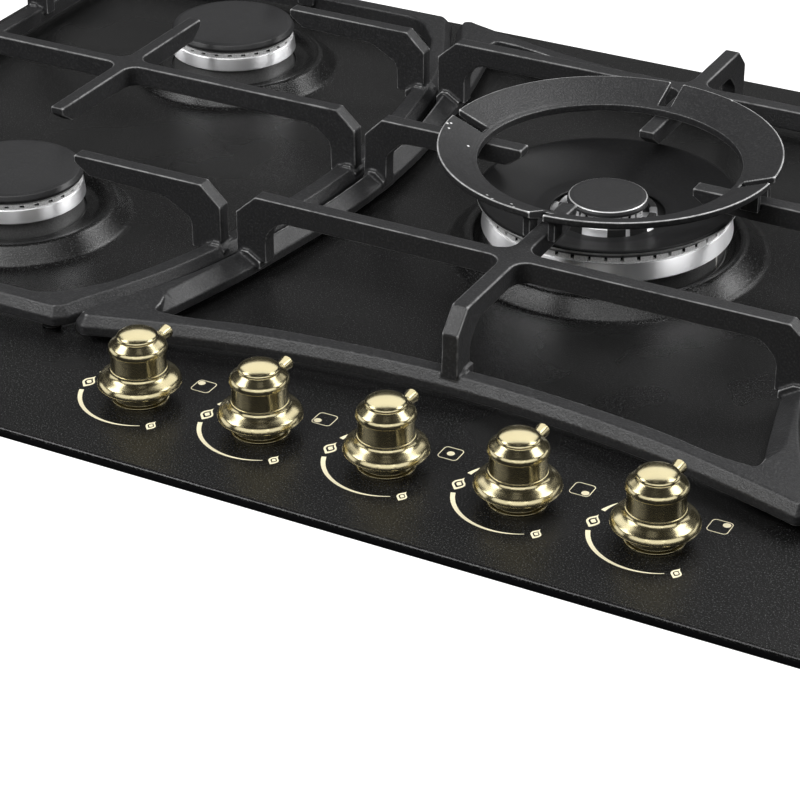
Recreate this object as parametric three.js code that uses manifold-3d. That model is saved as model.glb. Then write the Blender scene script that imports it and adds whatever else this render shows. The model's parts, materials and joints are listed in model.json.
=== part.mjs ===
// Built-in gas cooktop, five burners, five knobs in one row on the front edge.
// Units: millimetres. +X right, +Y to the back, +Z up.
// Origin: centre of the footprint, at the underside of the base tray.
import * as THREE from 'three';
import { mergeVertices } from 'three/addons/utils/BufferGeometryUtils.js';
import Module from 'manifold-3d';

const wasm = await Module();
wasm.setup();

// ---------------------------------------------------------------- dimensions
const WIDTH = 880, DEPTH = 510;          // top plate
const CORNER_R = 8;                      // plate corner radius
const SHEET = 1.5;                       // enamelled sheet thickness
const LIP = 4.7;                         // turned-down rim, overall
const H = 52;                            // top surface above the tray underside
const TRAY_W = 828, TRAY_D = 470, TRAY_T = 1.2;
const SEAL_IN_W = 832, SEAL_IN_D = 474, SEAL_WIDTH = 14;

const KNOB_Y = -202.5, KNOB_PITCH = 63;  // knob row
const KNOB_X = [-2, -1, 0, 1, 2].map((i) => i * KNOB_PITCH);
const PUSH = 3;                          // knob push travel, free above the spindle
const SPINDLE_TOP = 26;                  // above the plate

const WOK = { x: 0, y: 29.7 };           // centre burner axis
const SIDE_X = 280, FRONT_Y = -77.4, REAR_Y = 136.8;
const SIDES = [
  ['rear_left', -SIDE_X, REAR_Y], ['front_left', -SIDE_X, FRONT_Y],
  ['front_right', SIDE_X, FRONT_Y], ['rear_right', SIDE_X, REAR_Y],
];

// Grates are laid out on a grid of GU per unit, y measured from the knob row.
const GU = 0.9;
const GY = (v) => v * GU + KNOB_Y;
const GZ = (v) => H + v * GU;
const TOP = 49.5;                        // pan support height, grid units
const BAR_BOTTOM = 5, BAR_EDGE = 10, BAR_TOP = 15.5;
const UNDER = 37.5;                      // underside of the fingers
const MID_Y = 258;                       // grate centre line, grid units
const SIDE_GX = 311;                     // side burner axis, grid units
const F_Y = 139, R_Y = 377;              // burner rows, grid units

// ---------------------------------------------------------------- materials
const mat = (color, roughness, metalness) =>
  new THREE.MeshStandardMaterial({ color, roughness, metalness });
const enamel = () => mat(0x161616, 0.35, 0.0);
const castIron = () => mat(0x3a3b3d, 0.6, 0.25);
const brass = () => mat(0xb9a878, 0.28, 1.0);
const brassDark = () => mat(0x9c8a55, 0.4, 1.0);
const alu = () => mat(0xb9babb, 0.25, 1.0);
const aluDull = () => mat(0x8d8f91, 0.5, 0.9);
const capBlack = () => mat(0x2a2a2b, 0.55, 0.1);
const steel = () => mat(0xa6a8aa, 0.4, 0.9);
const zinc = () => mat(0x9aa0a2, 0.45, 0.9);
const rubber = () => mat(0x202020, 0.9, 0.0);
const plastic = () => mat(0xd9d6cc, 0.6, 0.0);
const ceramic = () => mat(0xe9e6df, 0.4, 0.0);

// ---------------------------------------------------------------- solids
// Closed geometry with shared vertices, faces turned outward.
function closed(geometry) {
  const g = geometry.clone();
  for (const k of Object.keys(g.attributes)) if (k !== 'position') g.deleteAttribute(k);
  const m = mergeVertices(g, 1e-4);
  const pos = m.getAttribute('position');
  let idx = Array.from(m.index.array);
  const keep = [];
  let vol = 0;
  const a = new THREE.Vector3(), b = new THREE.Vector3(), c = new THREE.Vector3();
  for (let i = 0; i < idx.length; i += 3) {
    const [p, q, r] = [idx[i], idx[i + 1], idx[i + 2]];
    if (p === q || q === r || r === p) continue;
    keep.push(p, q, r);
    a.fromBufferAttribute(pos, p); b.fromBufferAttribute(pos, q); c.fromBufferAttribute(pos, r);
    vol += a.dot(b.cross(c));
  }
  idx = keep;
  if (vol < 0) for (let i = 0; i < idx.length; i += 3) [idx[i], idx[i + 1]] = [idx[i + 1], idx[i]];
  return new wasm.Manifold(new wasm.Mesh({
    numProp: 3,
    vertProperties: new Float32Array(pos.array),
    triVerts: new Uint32Array(idx),
  }));
}
function toGeometry(solid) {
  const m = solid.getMesh();
  const g = new THREE.BufferGeometry();
  g.setAttribute('position', new THREE.BufferAttribute(new Float32Array(m.vertProperties), 3));
  g.setIndex(Array.from(m.triVerts));
  g.computeVertexNormals();
  return g;
}
// Turned solid about +Z from [radius, z] pairs.
function turned(profile, segments = 24, close = false) {
  const pts = profile.map(([r, z]) => new THREE.Vector2(r, z));
  if (close) pts.push(pts[0].clone());
  const g = new THREE.LatheGeometry(pts, segments);
  g.rotateX(Math.PI / 2);
  return closed(g);
}
const at = (solid, x, y, z = 0) => solid.translate([x, y, z]);
// Flat outline (array of [x, y]) pulled up from z0 to z1.
function prism(outline, z0, z1, holes = []) {
  const s = new THREE.Shape(outline.map(([x, y]) => new THREE.Vector2(x, y)));
  for (const h of holes) s.holes.push(new THREE.Path(h.map(([x, y]) => new THREE.Vector2(x, y))));
  const g = new THREE.ExtrudeGeometry(s, { depth: z1 - z0, bevelEnabled: false, steps: 1 });
  g.translate(0, 0, z0);
  return closed(g);
}
const box = (x0, x1, y0, y1, z0, z1) => {
  const g = new THREE.BoxGeometry(x1 - x0, y1 - y0, z1 - z0);
  g.translate((x0 + x1) / 2, (y0 + y1) / 2, (z0 + z1) / 2);
  return closed(g);
};
const rod = (r, z0, z1, segments = 12) => {
  const g = new THREE.CylinderGeometry(r, r, z1 - z0, segments);
  g.rotateX(Math.PI / 2);
  g.translate(0, 0, (z0 + z1) / 2);
  return closed(g);
};
// Loft through outlines with equal point counts: [[outline, z], ...].
function loft(levels) {
  const n = levels[0][0].length;
  const verts = [];
  for (const [o, z] of levels) for (const [x, y] of o) verts.push(x, y, z);
  const tris = [];
  const cap = (level) => THREE.ShapeUtils.triangulateShape(
    levels[level][0].map(([x, y]) => new THREE.Vector2(x, y)), []);
  for (const [a, b, c] of cap(0)) tris.push(c, b, a);
  const top = (levels.length - 1) * n;
  for (const [a, b, c] of cap(levels.length - 1)) tris.push(top + a, top + b, top + c);
  for (let l = 0; l + 1 < levels.length; l++) {
    for (let i = 0; i < n; i++) {
      const j = (i + 1) % n, p = l * n, q = (l + 1) * n;
      tris.push(p + i, p + j, q + j, p + i, q + j, q + i);
    }
  }
  const g = new THREE.BufferGeometry();
  g.setAttribute('position', new THREE.BufferAttribute(new Float32Array(verts), 3));
  g.setIndex(tris);
  return closed(g);
}
// Moves each point of a counter-clockwise outline inward by d.
function inset(outline, d) {
  const n = outline.length;
  return outline.map((p, i) => {
    const a = outline[(i + n - 1) % n], b = outline[(i + 1) % n];
    const e = [p[0] - a[0], p[1] - a[1]], f = [b[0] - p[0], b[1] - p[1]];
    const le = Math.hypot(...e), lf = Math.hypot(...f);
    const ne = [-e[1] / le, e[0] / le], nf = [-f[1] / lf, f[0] / lf];
    const k = 1 + ne[0] * nf[0] + ne[1] * nf[1];
    return [p[0] + d * (ne[0] + nf[0]) / k, p[1] + d * (ne[1] + nf[1]) / k];
  });
}
function roundRect(w, d, r, steps = 3) {
  const o = [];
  for (const [cx, cy, a0] of [[w / 2 - r, d / 2 - r, 0], [-w / 2 + r, d / 2 - r, 90],
    [-w / 2 + r, -d / 2 + r, 180], [w / 2 - r, -d / 2 + r, 270]]) {
    for (let i = 0; i <= steps; i++) {
      const t = (a0 + (90 * i) / steps) * Math.PI / 180;
      o.push([cx + r * Math.cos(t), cy + r * Math.sin(t)]);
    }
  }
  return o;
}
// Blade standing in the XZ plane: outline of [x, z], thickness about y = y0.
function bladeX(outline, y0, t) {
  const g = prism(outline.map(([x, z]) => [x, z]), -t / 2, t / 2);
  return g.rotate([90, 0, 0]).translate([0, y0, 0]);
}
// Blade standing in the YZ plane: outline of [y, z], thickness about x = x0.
function bladeY(outline, x0, t) {
  return bladeX(outline, 0, t).rotate([0, 0, 90]).translate([x0, 0, 0]);
}
const union = (list) => list.reduce((a, b) => a.add(b));

// ---------------------------------------------------------------- assembly
const cooktop = new THREE.Group();
function piece(name, solid, material, x = 0, y = 0, z = 0) {
  const m = new THREE.Mesh(toGeometry(solid), material);
  m.name = name;
  m.position.set(x, y, z);
  cooktop.add(m);
  return m;
}

// ---- top plate: one pressed sheet, raised boss round every burner
// section of the pressed boss, upper skin outward to inward, then the underside back
const SIDE_BOSS = [[60.5, 0], [57.4, 0.7], [50.4, 8.2], [47.4, 8.8], [39.6, 4.6], [35, 4.5],
  [35, 3], [40.2, 3.1], [47.7, 7.2], [49.4, 6.7], [56.6, -0.8], [60.5, -SHEET]];
const WOK_BOSS = [[82, 0], [78.3, 0.8], [70.4, 8.4], [66.8, 8.9], [62.8, 3.2], [60, 3],
  [60, 1.5], [63.6, 1.7], [67.4, 7.3], [69.6, 6.9], [77.5, -0.7], [82, -SHEET]];
{
  let plate = loft([[roundRect(WIDTH, DEPTH, CORNER_R), -LIP],
    [roundRect(WIDTH, DEPTH, CORNER_R), -0.7],
    [roundRect(WIDTH - 1.4, DEPTH - 1.4, CORNER_R - 0.7), 0]]);
  plate = plate.subtract(prism(roundRect(WIDTH - 2 * SHEET, DEPTH - 2 * SHEET, CORNER_R - SHEET), -LIP - 1, -SHEET));
  for (const [, x, y] of SIDES) {
    plate = plate.subtract(at(rod(60.5, -5, 5, 18), x, y)).add(at(turned(SIDE_BOSS, 18, true), x, y));
  }
  plate = plate.subtract(at(rod(82, -5, 5, 24), WOK.x, WOK.y)).add(at(turned(WOK_BOSS, 24, true), WOK.x, WOK.y));
  for (const x of KNOB_X) plate = plate.subtract(at(rod(7.6, -5, 5, 10), x, KNOB_Y));
  piece('top_plate', plate, enamel(), 0, 0, H);
}

// ---- base tray: folded box under the plate, its rim folded outward against the plate
{
  const out = prism(roundRect(TRAY_W, TRAY_D, 6, 2), 0, H - SHEET);
  const inn = prism(roundRect(TRAY_W - 2 * TRAY_T, TRAY_D - 2 * TRAY_T, 5, 2), TRAY_T, H);
  let tray = out.subtract(inn);
  // stiffening beads pressed into the floor
  for (const x of [-330, -110, 110, 330]) {
    tray = tray.add(box(x - 6, x + 6, -150, 190, TRAY_T - 0.2, TRAY_T + 1.3));
  }
  // gas inlet opening in the back wall and cable opening beside it
  tray = tray.subtract(closed(new THREE.CylinderGeometry(9, 9, 20, 14)).translate([385, TRAY_D / 2, 34]));
  tray = tray.subtract(box(150, 172, TRAY_D / 2 - 8, TRAY_D / 2 + 8, 14, 26));
  // ventilation slots in both side walls
  for (const sx of [-1, 1]) for (const y of [-120, -40, 40, 120]) {
    tray = tray.subtract(box(sx * TRAY_W / 2 - 6, sx * TRAY_W / 2 + 6, y - 22, y + 22, 20, 27));
  }
  piece('base_tray', tray, zinc());
}

// ---- foam seal under the plate rim
piece('worktop_seal', prism(roundRect(SEAL_IN_W + 2 * SEAL_WIDTH, SEAL_IN_D + 2 * SEAL_WIDTH, 6, 2),
  H - LIP, H - SHEET, [roundRect(SEAL_IN_W, SEAL_IN_D, 5, 2).reverse()]), rubber());

// ---- gas rail with its brazed inlet nipple
const RAIL_Y = KNOB_Y + 20, RAIL_Z = 34, RAIL_R = 5.5;
function tube(points, r, steps, sides = 8, tension = 0.5) {
  const curve = new THREE.CatmullRomCurve3(points.map((p) => new THREE.Vector3(...p)), false, 'catmullrom', tension);
  const s = new THREE.Shape();
  for (let i = 0; i < sides; i++) {
    const t = (2 * Math.PI * i) / sides;
    if (i === 0) s.moveTo(r, 0); else s.lineTo(r * Math.cos(t), r * Math.sin(t));
  }
  return closed(new THREE.ExtrudeGeometry(s, { steps, bevelEnabled: false, extrudePath: curve }));
}
{
  const x1 = 385, rb = 26;
  const run = [];
  const rail = new THREE.CurvePath();
  rail.add(new THREE.LineCurve3(new THREE.Vector3(-142, RAIL_Y, RAIL_Z), new THREE.Vector3(x1 - rb, RAIL_Y, RAIL_Z)));
  for (let i = 0; i <= 4; i++) {
    const t = (-90 + 22.5 * i) * Math.PI / 180;
    run.push([x1 - rb + rb * Math.cos(t), RAIL_Y + rb + rb * Math.sin(t), RAIL_Z]);
  }
  const seg = (a, b) => tube([a, b], RAIL_R, 1, 10);
  let body = seg([-142, RAIL_Y, RAIL_Z], run[0]);
  // bend as one swept piece
  body = body.add(tube(run, RAIL_R, 6, 10)).add(seg(run[4], [x1, TRAY_D / 2 + 17, RAIL_Z]));
  const hex = closed(new THREE.CylinderGeometry(9.5, 9.5, 8, 6)).translate([x1, TRAY_D / 2 - 10, RAIL_Z]);
  const thread = closed(new THREE.CylinderGeometry(8, 8, 26, 14)).translate([x1, TRAY_D / 2 + 5, RAIL_Z]);
  const bore = closed(new THREE.CylinderGeometry(3.6, 3.6, 20, 10)).translate([x1, TRAY_D / 2 + 12, RAIL_Z]);
  piece('gas_rail', body.add(hex).add(thread).subtract(bore), steel());
}

// ---- ignition module
{
  let m = box(120, 206, 176, 214, TRAY_T, 27);
  for (let i = 0; i < 5; i++) m = m.add(at(rod(3.2, 26, 32, 8), 130 + i * 12, 186));
  m = m.add(box(186, 204, 196, 222, 10, 22));
  m = m.subtract(box(188, 202, 210, 224, 13, 24));
  piece('ignition_module', m, plastic());
}

// ---- knobs with spindle, bezel, valve
const KNOB_SEG = 16;
const KNOB_OUTER = [[12.4, 5.9], [15.6, 6.3], [18.4, 7.5], [19.1, 8.6], [18.4, 9.9], [15.4, 12.3],
  [13.4, 14.3], [12.6, 15.6], [12.55, 24.4], [13.4, 25.1], [13.1, 26.0], [11.6, 27.4], [9.9, 29.1], [8.8, 30.6],
  [9.45, 31.5], [8.6, 32.8], [5.6, 34.0], [0, 34.85]];
const KNOB_PROFILE = [...KNOB_OUTER, [0, SPINDLE_TOP + PUSH + 0.6], [3.4, SPINDLE_TOP + PUSH + 0.6], [3.4, 11.2], [12.4, 10.4]];
const STUD_Z = 22;                       // pointer stud axis above the plate
const STUD_FOOT = 12.9, STUD_END = 24.4; // from the knob axis, foot beside the collar and end face
const ORDER = ['rear_left', 'front_left', 'centre', 'front_right', 'rear_right'];
KNOB_X.forEach((x, i) => {
  const w = ORDER[i];
  piece(`knob_${w}`, turned(KNOB_PROFILE, KNOB_SEG, true), brass(), x, KNOB_Y, H);
  // pointer stud on the back of the collar
  const stud = turned([[0, STUD_FOOT], [1.5, STUD_FOOT], [1.5, 20.2], [2.4, 20.8], [3.0, STUD_END - 0.5], [2.6, STUD_END], [0, STUD_END]], 10)
    .rotate([-90, 0, 0]);
  piece(`knob_pointer_${w}`, stud, brass(), x, KNOB_Y, H + STUD_Z);
  piece(`knob_bezel_${w}`, turned([[4.2, 0], [13.4, 0], [13.4, 0.9], [12.2, 2.0], [11.4, 5.2], [4.2, 5.2]], 16, true),
    brass(), x, KNOB_Y, H);
  // spindle with a flat
  let sp = rod(3, -20, SPINDLE_TOP, 10);
  sp = sp.subtract(box(1.9, 4, -4, 4, 6, SPINDLE_TOP + 1));
  piece(`spindle_${w}`, sp, steel(), x, KNOB_Y, H);
  // valve body: block, stem housing, clamp saddle on the rail, outlet stub
  let v = box(-9, 9, -10, 9.5, -42, -19).add(rod(6.8, -19.5, -8, 10));
  v = v.add(box(-8, 8, 9, 14.2, -25, -19.5)).subtract(rod(3.4, -26, 0, 10));
  piece(`gas_valve_${w}`, v, brassDark(), x, KNOB_Y, H);
});

// ---- supply pipes from the valves to the burner cups
const FLOOR_A = 14, FLOOR_B = 21;
const pipe = (name, pts) => piece(name, tube(pts, 2.1, 9, 6), aluDull());
const VY = KNOB_Y + 9.8;
for (const s of [-1, 1]) {
  const side = s < 0 ? 'left' : 'right';
  pipe(`gas_pipe_front_${side}`, [[s * 63, VY, FLOOR_A], [s * 63, VY + 30, FLOOR_A], [s * 90, -132, FLOOR_A],
    [s * 160, -92, FLOOR_A], [s * 215, -80, FLOOR_A], [s * (SIDE_X - 18.4), FRONT_Y, FLOOR_A]]);
  pipe(`gas_pipe_rear_${side}`, [[s * 126, VY, FLOOR_B], [s * 126, VY + 40, FLOOR_B], [s * 132, -70, FLOOR_B],
    [s * 150, 30, FLOOR_B], [s * 205, 115, FLOOR_B], [s * (SIDE_X - 18.4), REAR_Y, FLOOR_B]]);
}
pipe('gas_pipe_centre', [[0, VY, FLOOR_A], [0, VY + 40, FLOOR_A], [0, -90, FLOOR_A], [0, WOK.y - 24.4, FLOOR_A]]);

// ---- side burners
for (const [w, x, y] of SIDES) {
  const ex = x > 0 ? -22 : 22, ey = 22;   // electrode offset, behind the burner
  const eHole = at(rod(2.9, -30, 40, 8), ex, ey);
  let cup = turned([[0, -43], [18, -43], [18, -28], [29, -20], [30, 1.2], [37.5, 1.2], [37.5, 3], [33.6, 3],
    [33.2, 12.4], [27, 12.4], [26, -18], [0, -25]], 14);
  cup = cup.subtract(at(rod(2.9, -40, 40, 8), ex, ey));
  piece(`burner_cup_${w}`, cup, aluDull(), x, y, H);
  let head = turned([[5, 12.4], [35.2, 12.4], [34.3, 19.6], [33.8, 19.8], [33.8, 22.6], [26, 22.6], [25.4, 16], [5, 16]], 18, true);
  head = head.subtract(eHole).subtract(at(box(-3, 3, 0, 12, 19.9, 24).rotate([0, 0, Math.atan2(ey, ex) * 180 / Math.PI - 90]), ex, ey));
  piece(`burner_head_${w}`, head, alu(), x, y, H);
  piece(`burner_cap_${w}`, turned([[0, 22.6], [32.6, 22.6], [34.6, 24], [34.6, 25.3], [33.2, 27.5], [0, 28.4]], 18),
    capBlack(), x, y, H);
  piece(`electrode_${w}`, turned([[0, -12], [2.2, -12], [2.2, 18], [0.9, 18.6], [0.9, 21.4], [0, 21.4]], 8),
    ceramic(), x + ex, y + ey, H);
}

// ---- centre burner
{
  const er = 56.8;
  let cup = turned([[0, -43], [24, -43], [24, -28], [54, -20], [55, -0.5], [62, -0.5], [62, 1.5], [59, 1.5],
    [58.6, 12.9], [51, 12.9], [51, -15], [14, -25], [0, -25]], 18);
  cup = cup.subtract(at(rod(3, -40, 40, 8), er, 0));
  piece('burner_cup_centre', cup, aluDull(), WOK.x, WOK.y, H);
  let head = turned([[6, 12.9], [62.6, 12.9], [61.5, 20], [61, 20.3], [61, 25.6], [54, 25.6], [52, 17], [26, 17],
    [25.4, 21], [22, 21], [21.5, 19], [17.4, 19], [17, 25.3], [6, 25.3]], 24, true);
  head = head.subtract(at(rod(3, -5, 40, 8), er, 0)).subtract(box(er, er + 8, -3.4, 3.4, 20.4, 30));
  piece('burner_head_centre', head, alu(), WOK.x, WOK.y, H);
  let crown = turned([[61.4, 25.6], [65.0, 28.8], [65.1, 29.8], [63.6, 30.3], [57.5, 28.4], [46, 23.6], [36, 20.9],
    [28.6, 20.1], [28.6, 18.9], [38, 19.2], [54, 25.6]], 24, true);
  crown = crown.subtract(box(54, 61.8, -3, 3, 20, 27.6));
  piece('burner_crown_centre', crown, capBlack(), WOK.x, WOK.y, H);
  piece('burner_cap_centre', turned([[0, 25.3], [18.8, 25.3], [20.2, 26.4], [20.2, 27.6], [19, 29], [0, 29.5]], 18),
    capBlack(), WOK.x, WOK.y, H);
  piece('electrode_centre', turned([[0, -12], [2.2, -12], [2.2, 19], [0.9, 19.8], [0.9, 24.2], [0, 24.2]], 8),
    ceramic(), WOK.x + er, WOK.y, H);
}

// ---- grates, laid out on the grid; half outlines mirrored about the middle row
const mirrorY = (pts) => pts.map(([x, y]) => [x, 2 * MID_Y - y]).reverse();
const mm = (pts) => pts.map(([x, y]) => [x * GU, GY(y)]);
const T_SIDE = 8.4 * GU, T_MID = 9.2 * GU;
const bladeMM = (pts) => pts.map(([a, z]) => [a * GU, GZ(z)]);
const bladeYMM = (pts) => pts.map(([y, z]) => [GY(y), GZ(z)]);
function frameRing(outer, inner) {
  const body = loft([[mm(outer), GZ(BAR_BOTTOM)], [mm(outer), GZ(BAR_EDGE)], [inset(mm(outer), 4 * GU), GZ(BAR_TOP)]]);
  return body.subtract(prism(mm(inner), GZ(BAR_BOTTOM) - 2, GZ(BAR_TOP) + 2));
}
const feet = (list) => list.map(([x, y]) => at(rod(4.6, H, GZ(BAR_BOTTOM) + 0.6, 8), x * GU, GY(y)));

// centre grate: concave-sided frame
{
  const halfOuter = [[-150, 258], [-152.5, 209], [-158.5, 170], [-165, 135], [-175, 101], [-186, 76], [-196, 56], [-202, 42], [-201, 35],
    [-196, 32], [-177, 37], [-134, 48], [-64, 60], [0, 64]];
  // left half, then the right half by symmetry, counter-clockwise
  const low = [...halfOuter.slice(0, -1), [0, 64], ...halfOuter.slice(0, -1).map(([x, y]) => [-x, y]).reverse()];
  const outer = [...low, ...mirrorY(low).slice(1, -1)];
  const halfInner = [[-137, 258], [-139.5, 209], [-146, 165], [-152, 124], [-160, 92], [-166, 69], [-163, 60.5],
    [-155, 57.5], [-144, 58.5], [-122, 64], [-97, 68.5], [-58, 73], [0, 75.5]];
  const lowIn = [...halfInner.slice(0, -1), [0, 75.5], ...halfInner.slice(0, -1).map(([x, y]) => [-x, y]).reverse()];
  const inner = [...lowIn, ...mirrorY(lowIn).slice(1, -1)];
  const crossBar = (y) => bladeX(bladeMM([[-164, 12], [-164, 38], [-151.5, TOP], [151.5, TOP], [164, 38], [164, 12],
    [148, 12], [148, 30], [143, UNDER], [-143, UNDER], [-148, 30], [-148, 12]]), GY(y), T_MID);
  const tip = 51;
  const yFinger = [[66, 9], [66.5, 38], [77.5, TOP], [MID_Y - tip, TOP], [MID_Y - tip, 45.5], [MID_Y - tip - 8, 39],
    [90, UNDER], [83, 33], [81.5, 28], [80, 9]];
  const yBack = yFinger.map(([y, z]) => [2 * MID_Y - y, z]).reverse();
  const xFinger = [[-150.5, 9], [-149.5, 38], [-138.5, TOP], [-tip, TOP], [-tip, 45.5], [-tip - 8, 39], [-126, UNDER],
    [-133, 33], [-134.5, 28], [-136, 9]];
  const xRight = xFinger.map(([x, z]) => [-x, z]).reverse();
  const grate = union([frameRing(outer, inner), crossBar(139.5), crossBar(2 * MID_Y - 139.5),
    bladeY(bladeYMM(yFinger), 0, T_MID), bladeY(bladeYMM(yBack), 0, T_MID),
    bladeX(bladeMM(xFinger), GY(MID_Y), T_MID), bladeX(bladeMM(xRight), GY(MID_Y), T_MID),
    ...feet([[-182, 48], [182, 48], [-182, 468], [182, 468]])]);
  piece('grate_centre', grate, castIron());
}

// side grates: straight outer side, convex inner side
for (const s of [-1, 1]) {
  const right = [[-214, 32], [-209, 36], [-200, 56], [-192, 71], [-179.5, 101], [-169, 135], [-162.5, 170], [-156.5, 209], [-154, 258]];
  const low = [[-466, 258], [-466, 42], [-456, 32], ...right];
  const outer = [...low, ...mirrorY(low).slice(1, -1)];
  const rightIn = [[-256, 45], [-235, 46], [-223, 51], [-208, 66], [-194.5, 99], [-184, 130], [-177, 166], [-171, 207], [-168, 258]];
  const lowIn = [[-453, 258], [-453, 57], [-449, 49], [-441, 45], ...rightIn];
  const inner = [...lowIn, ...mirrorY(lowIn).slice(1, -1)];
  const parts = [frameRing(outer, inner)];
  const t = 44;                          // finger tips stop this far from the burner axis
  for (const [row, xo, xb, xl, xi] of [[F_Y, -171, -183, -171, -187], [R_Y, -171, -183, -171, -187]]) {
    parts.push(bladeX(bladeMM([[xo, 12], [xl, 38], [xb, TOP], [-SIDE_GX + t, TOP], [-SIDE_GX + t, 45.5],
      [-SIDE_GX + t + 8, 39], [-200, UNDER], [-192, 34], [xi, 28], [xi, 12]]), GY(row), T_SIDE));
    parts.push(bladeX(bladeMM([[-465, 12], [-465, 38], [-453, TOP], [-SIDE_GX - t, TOP], [-SIDE_GX - t, 45.5],
      [-SIDE_GX - t - 8, 39], [-437, UNDER], [-447, 34], [-450, 28], [-450, 12]].reverse()), GY(row), T_SIDE));
  }
  // middle bar across, with the two facing fingers on it
  parts.push(bladeX(bladeMM([[-465, 12], [-450, 12], [-450, 28], [-447, 34], [-440, UNDER], [-182, UNDER], [-175, 34],
    [-172, 28], [-172, 12], [-156.5, 12], [-156.5, 38], [-168.5, TOP], [-453, TOP], [-465, 38]]), GY(MID_Y), T_SIDE));
  parts.push(bladeY(bladeYMM([[F_Y + t, TOP], [F_Y + t, 45.5], [F_Y + t + 8, 39], [MID_Y, UNDER], [R_Y - t - 8, 39],
    [R_Y - t, 45.5], [R_Y - t, TOP]]), -SIDE_GX * GU, T_SIDE));
  // fingers from the front and back bars
  const yf = [[34, 9], [34.5, 38], [46, TOP], [F_Y - t, TOP], [F_Y - t, 45.5], [F_Y - t - 8, 39], [58, UNDER], [50, 33], [48, 28], [47, 9]];
  parts.push(bladeY(bladeYMM(yf), -SIDE_GX * GU, T_SIDE));
  parts.push(bladeY(bladeYMM(yf.map(([y, z]) => [2 * MID_Y - y, z]).reverse()), -SIDE_GX * GU, T_SIDE));
  parts.push(...feet([[-457, 42], [-222, 42], [-457, 474], [-222, 474]]));
  let grate = union(parts);
  if (s > 0) grate = grate.mirror([1, 0, 0]);
  piece(s < 0 ? 'grate_left' : 'grate_right', grate, castIron());
}

// ---- wok ring on the four fingers of the centre grate: a shallow cone, low on the inside,
// with a slot and a pair of prongs over every finger
const RING_IN = 72.2, RING_OUT = 94.1, RING_IN_Z = 53.9, RING_OUT_Z = 62.4, RING_EDGE = 4.0;
{
  let ring = turned([[RING_IN * GU, GZ(TOP)], [(RING_IN + 2.6) * GU, GZ(TOP)], [(RING_OUT - 0.8) * GU, GZ(RING_OUT_Z - RING_EDGE - 0.5)],
    [RING_OUT * GU, GZ(RING_OUT_Z - RING_EDGE)], [RING_OUT * GU, GZ(RING_OUT_Z - 0.7)], [(RING_OUT - 0.8) * GU, GZ(RING_OUT_Z)],
    [(RING_IN + 0.8) * GU, GZ(RING_IN_Z)], [RING_IN * GU, GZ(RING_IN_Z - 0.8)]], 32, true);
  const gap = 0.45, w = 4.2;
  for (let k = 0; k < 4; k++) {
    for (const sgn of [-1, 1]) {
      const a = sgn * (T_MID / 2 + gap), b = a + sgn * w;
      const prong = bladeX([[80, 45.5], [90, 45.5], [90, 58], [85, 56.2], [80, 54.2]].map(([r, z]) => [r * GU, GZ(z)]), (a + b) / 2, w);
      ring = ring.add(prong.rotate([0, 0, 90 * k]));
    }
    ring = ring.subtract(box(76 * GU, 97 * GU, -3.4, 3.4, GZ(44), GZ(66)).rotate([0, 0, 90 * k]));
  }
  piece('wok_ring', ring, castIron(), WOK.x, WOK.y, 0);
}

export default cooktop;
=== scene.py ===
import json
import math
import bpy
from mathutils import Matrix, Vector
from mathutils.geometry import tessellate_polygon

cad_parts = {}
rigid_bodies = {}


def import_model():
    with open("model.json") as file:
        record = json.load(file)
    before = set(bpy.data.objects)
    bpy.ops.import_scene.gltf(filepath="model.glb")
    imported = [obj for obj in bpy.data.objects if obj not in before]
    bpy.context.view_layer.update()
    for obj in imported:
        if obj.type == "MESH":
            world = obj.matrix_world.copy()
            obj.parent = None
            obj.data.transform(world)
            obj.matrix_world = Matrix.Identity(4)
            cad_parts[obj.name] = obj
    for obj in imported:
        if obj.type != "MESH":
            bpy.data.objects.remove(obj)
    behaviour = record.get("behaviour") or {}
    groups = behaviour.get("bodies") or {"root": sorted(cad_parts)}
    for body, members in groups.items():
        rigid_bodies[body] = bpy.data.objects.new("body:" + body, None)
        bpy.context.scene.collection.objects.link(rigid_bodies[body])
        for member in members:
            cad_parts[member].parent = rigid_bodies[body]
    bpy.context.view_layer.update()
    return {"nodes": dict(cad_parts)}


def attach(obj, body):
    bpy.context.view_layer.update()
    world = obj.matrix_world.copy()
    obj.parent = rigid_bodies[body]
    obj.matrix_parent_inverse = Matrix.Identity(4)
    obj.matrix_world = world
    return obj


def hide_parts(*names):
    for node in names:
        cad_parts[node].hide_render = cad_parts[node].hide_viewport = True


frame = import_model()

MM = 0.001
H = 52.0                       # top surface of the plate above the tray underside, mm
LIP = 4.7
KNOB_Y = -202.5
PITCH = 63.0
GU = 0.9                       # one grid unit, mm
ORDER = ['rear_left', 'front_left', 'centre', 'front_right', 'rear_right']
SIDES = {'rear_left': (-280.0, 136.8), 'front_left': (-280.0, -77.4),
         'front_right': (280.0, -77.4), 'rear_right': (280.0, 136.8)}
WOK = (0.0, 29.7)


def gy(v):
    return v * GU + KNOB_Y


def gz(v):
    return H + v * GU


# ------------------------------------------------------------------ materials
def new_mat(name):
    m = bpy.data.materials.new(name)
    m.use_nodes = True
    nt = m.node_tree
    return m, nt, nt.nodes['Principled BSDF'], nt.nodes, nt.links


def coords(nodes):
    return nodes.new('ShaderNodeTexCoord')


def noise(nodes, links, tc, scale, detail=4.0, rough=0.6, dist=0.0, vec='Object'):
    n = nodes.new('ShaderNodeTexNoise')
    n.inputs['Scale'].default_value = scale
    n.inputs['Detail'].default_value = detail
    n.inputs['Roughness'].default_value = rough
    n.inputs['Distortion'].default_value = dist
    links.new(tc.outputs[vec], n.inputs['Vector'])
    return n


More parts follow.
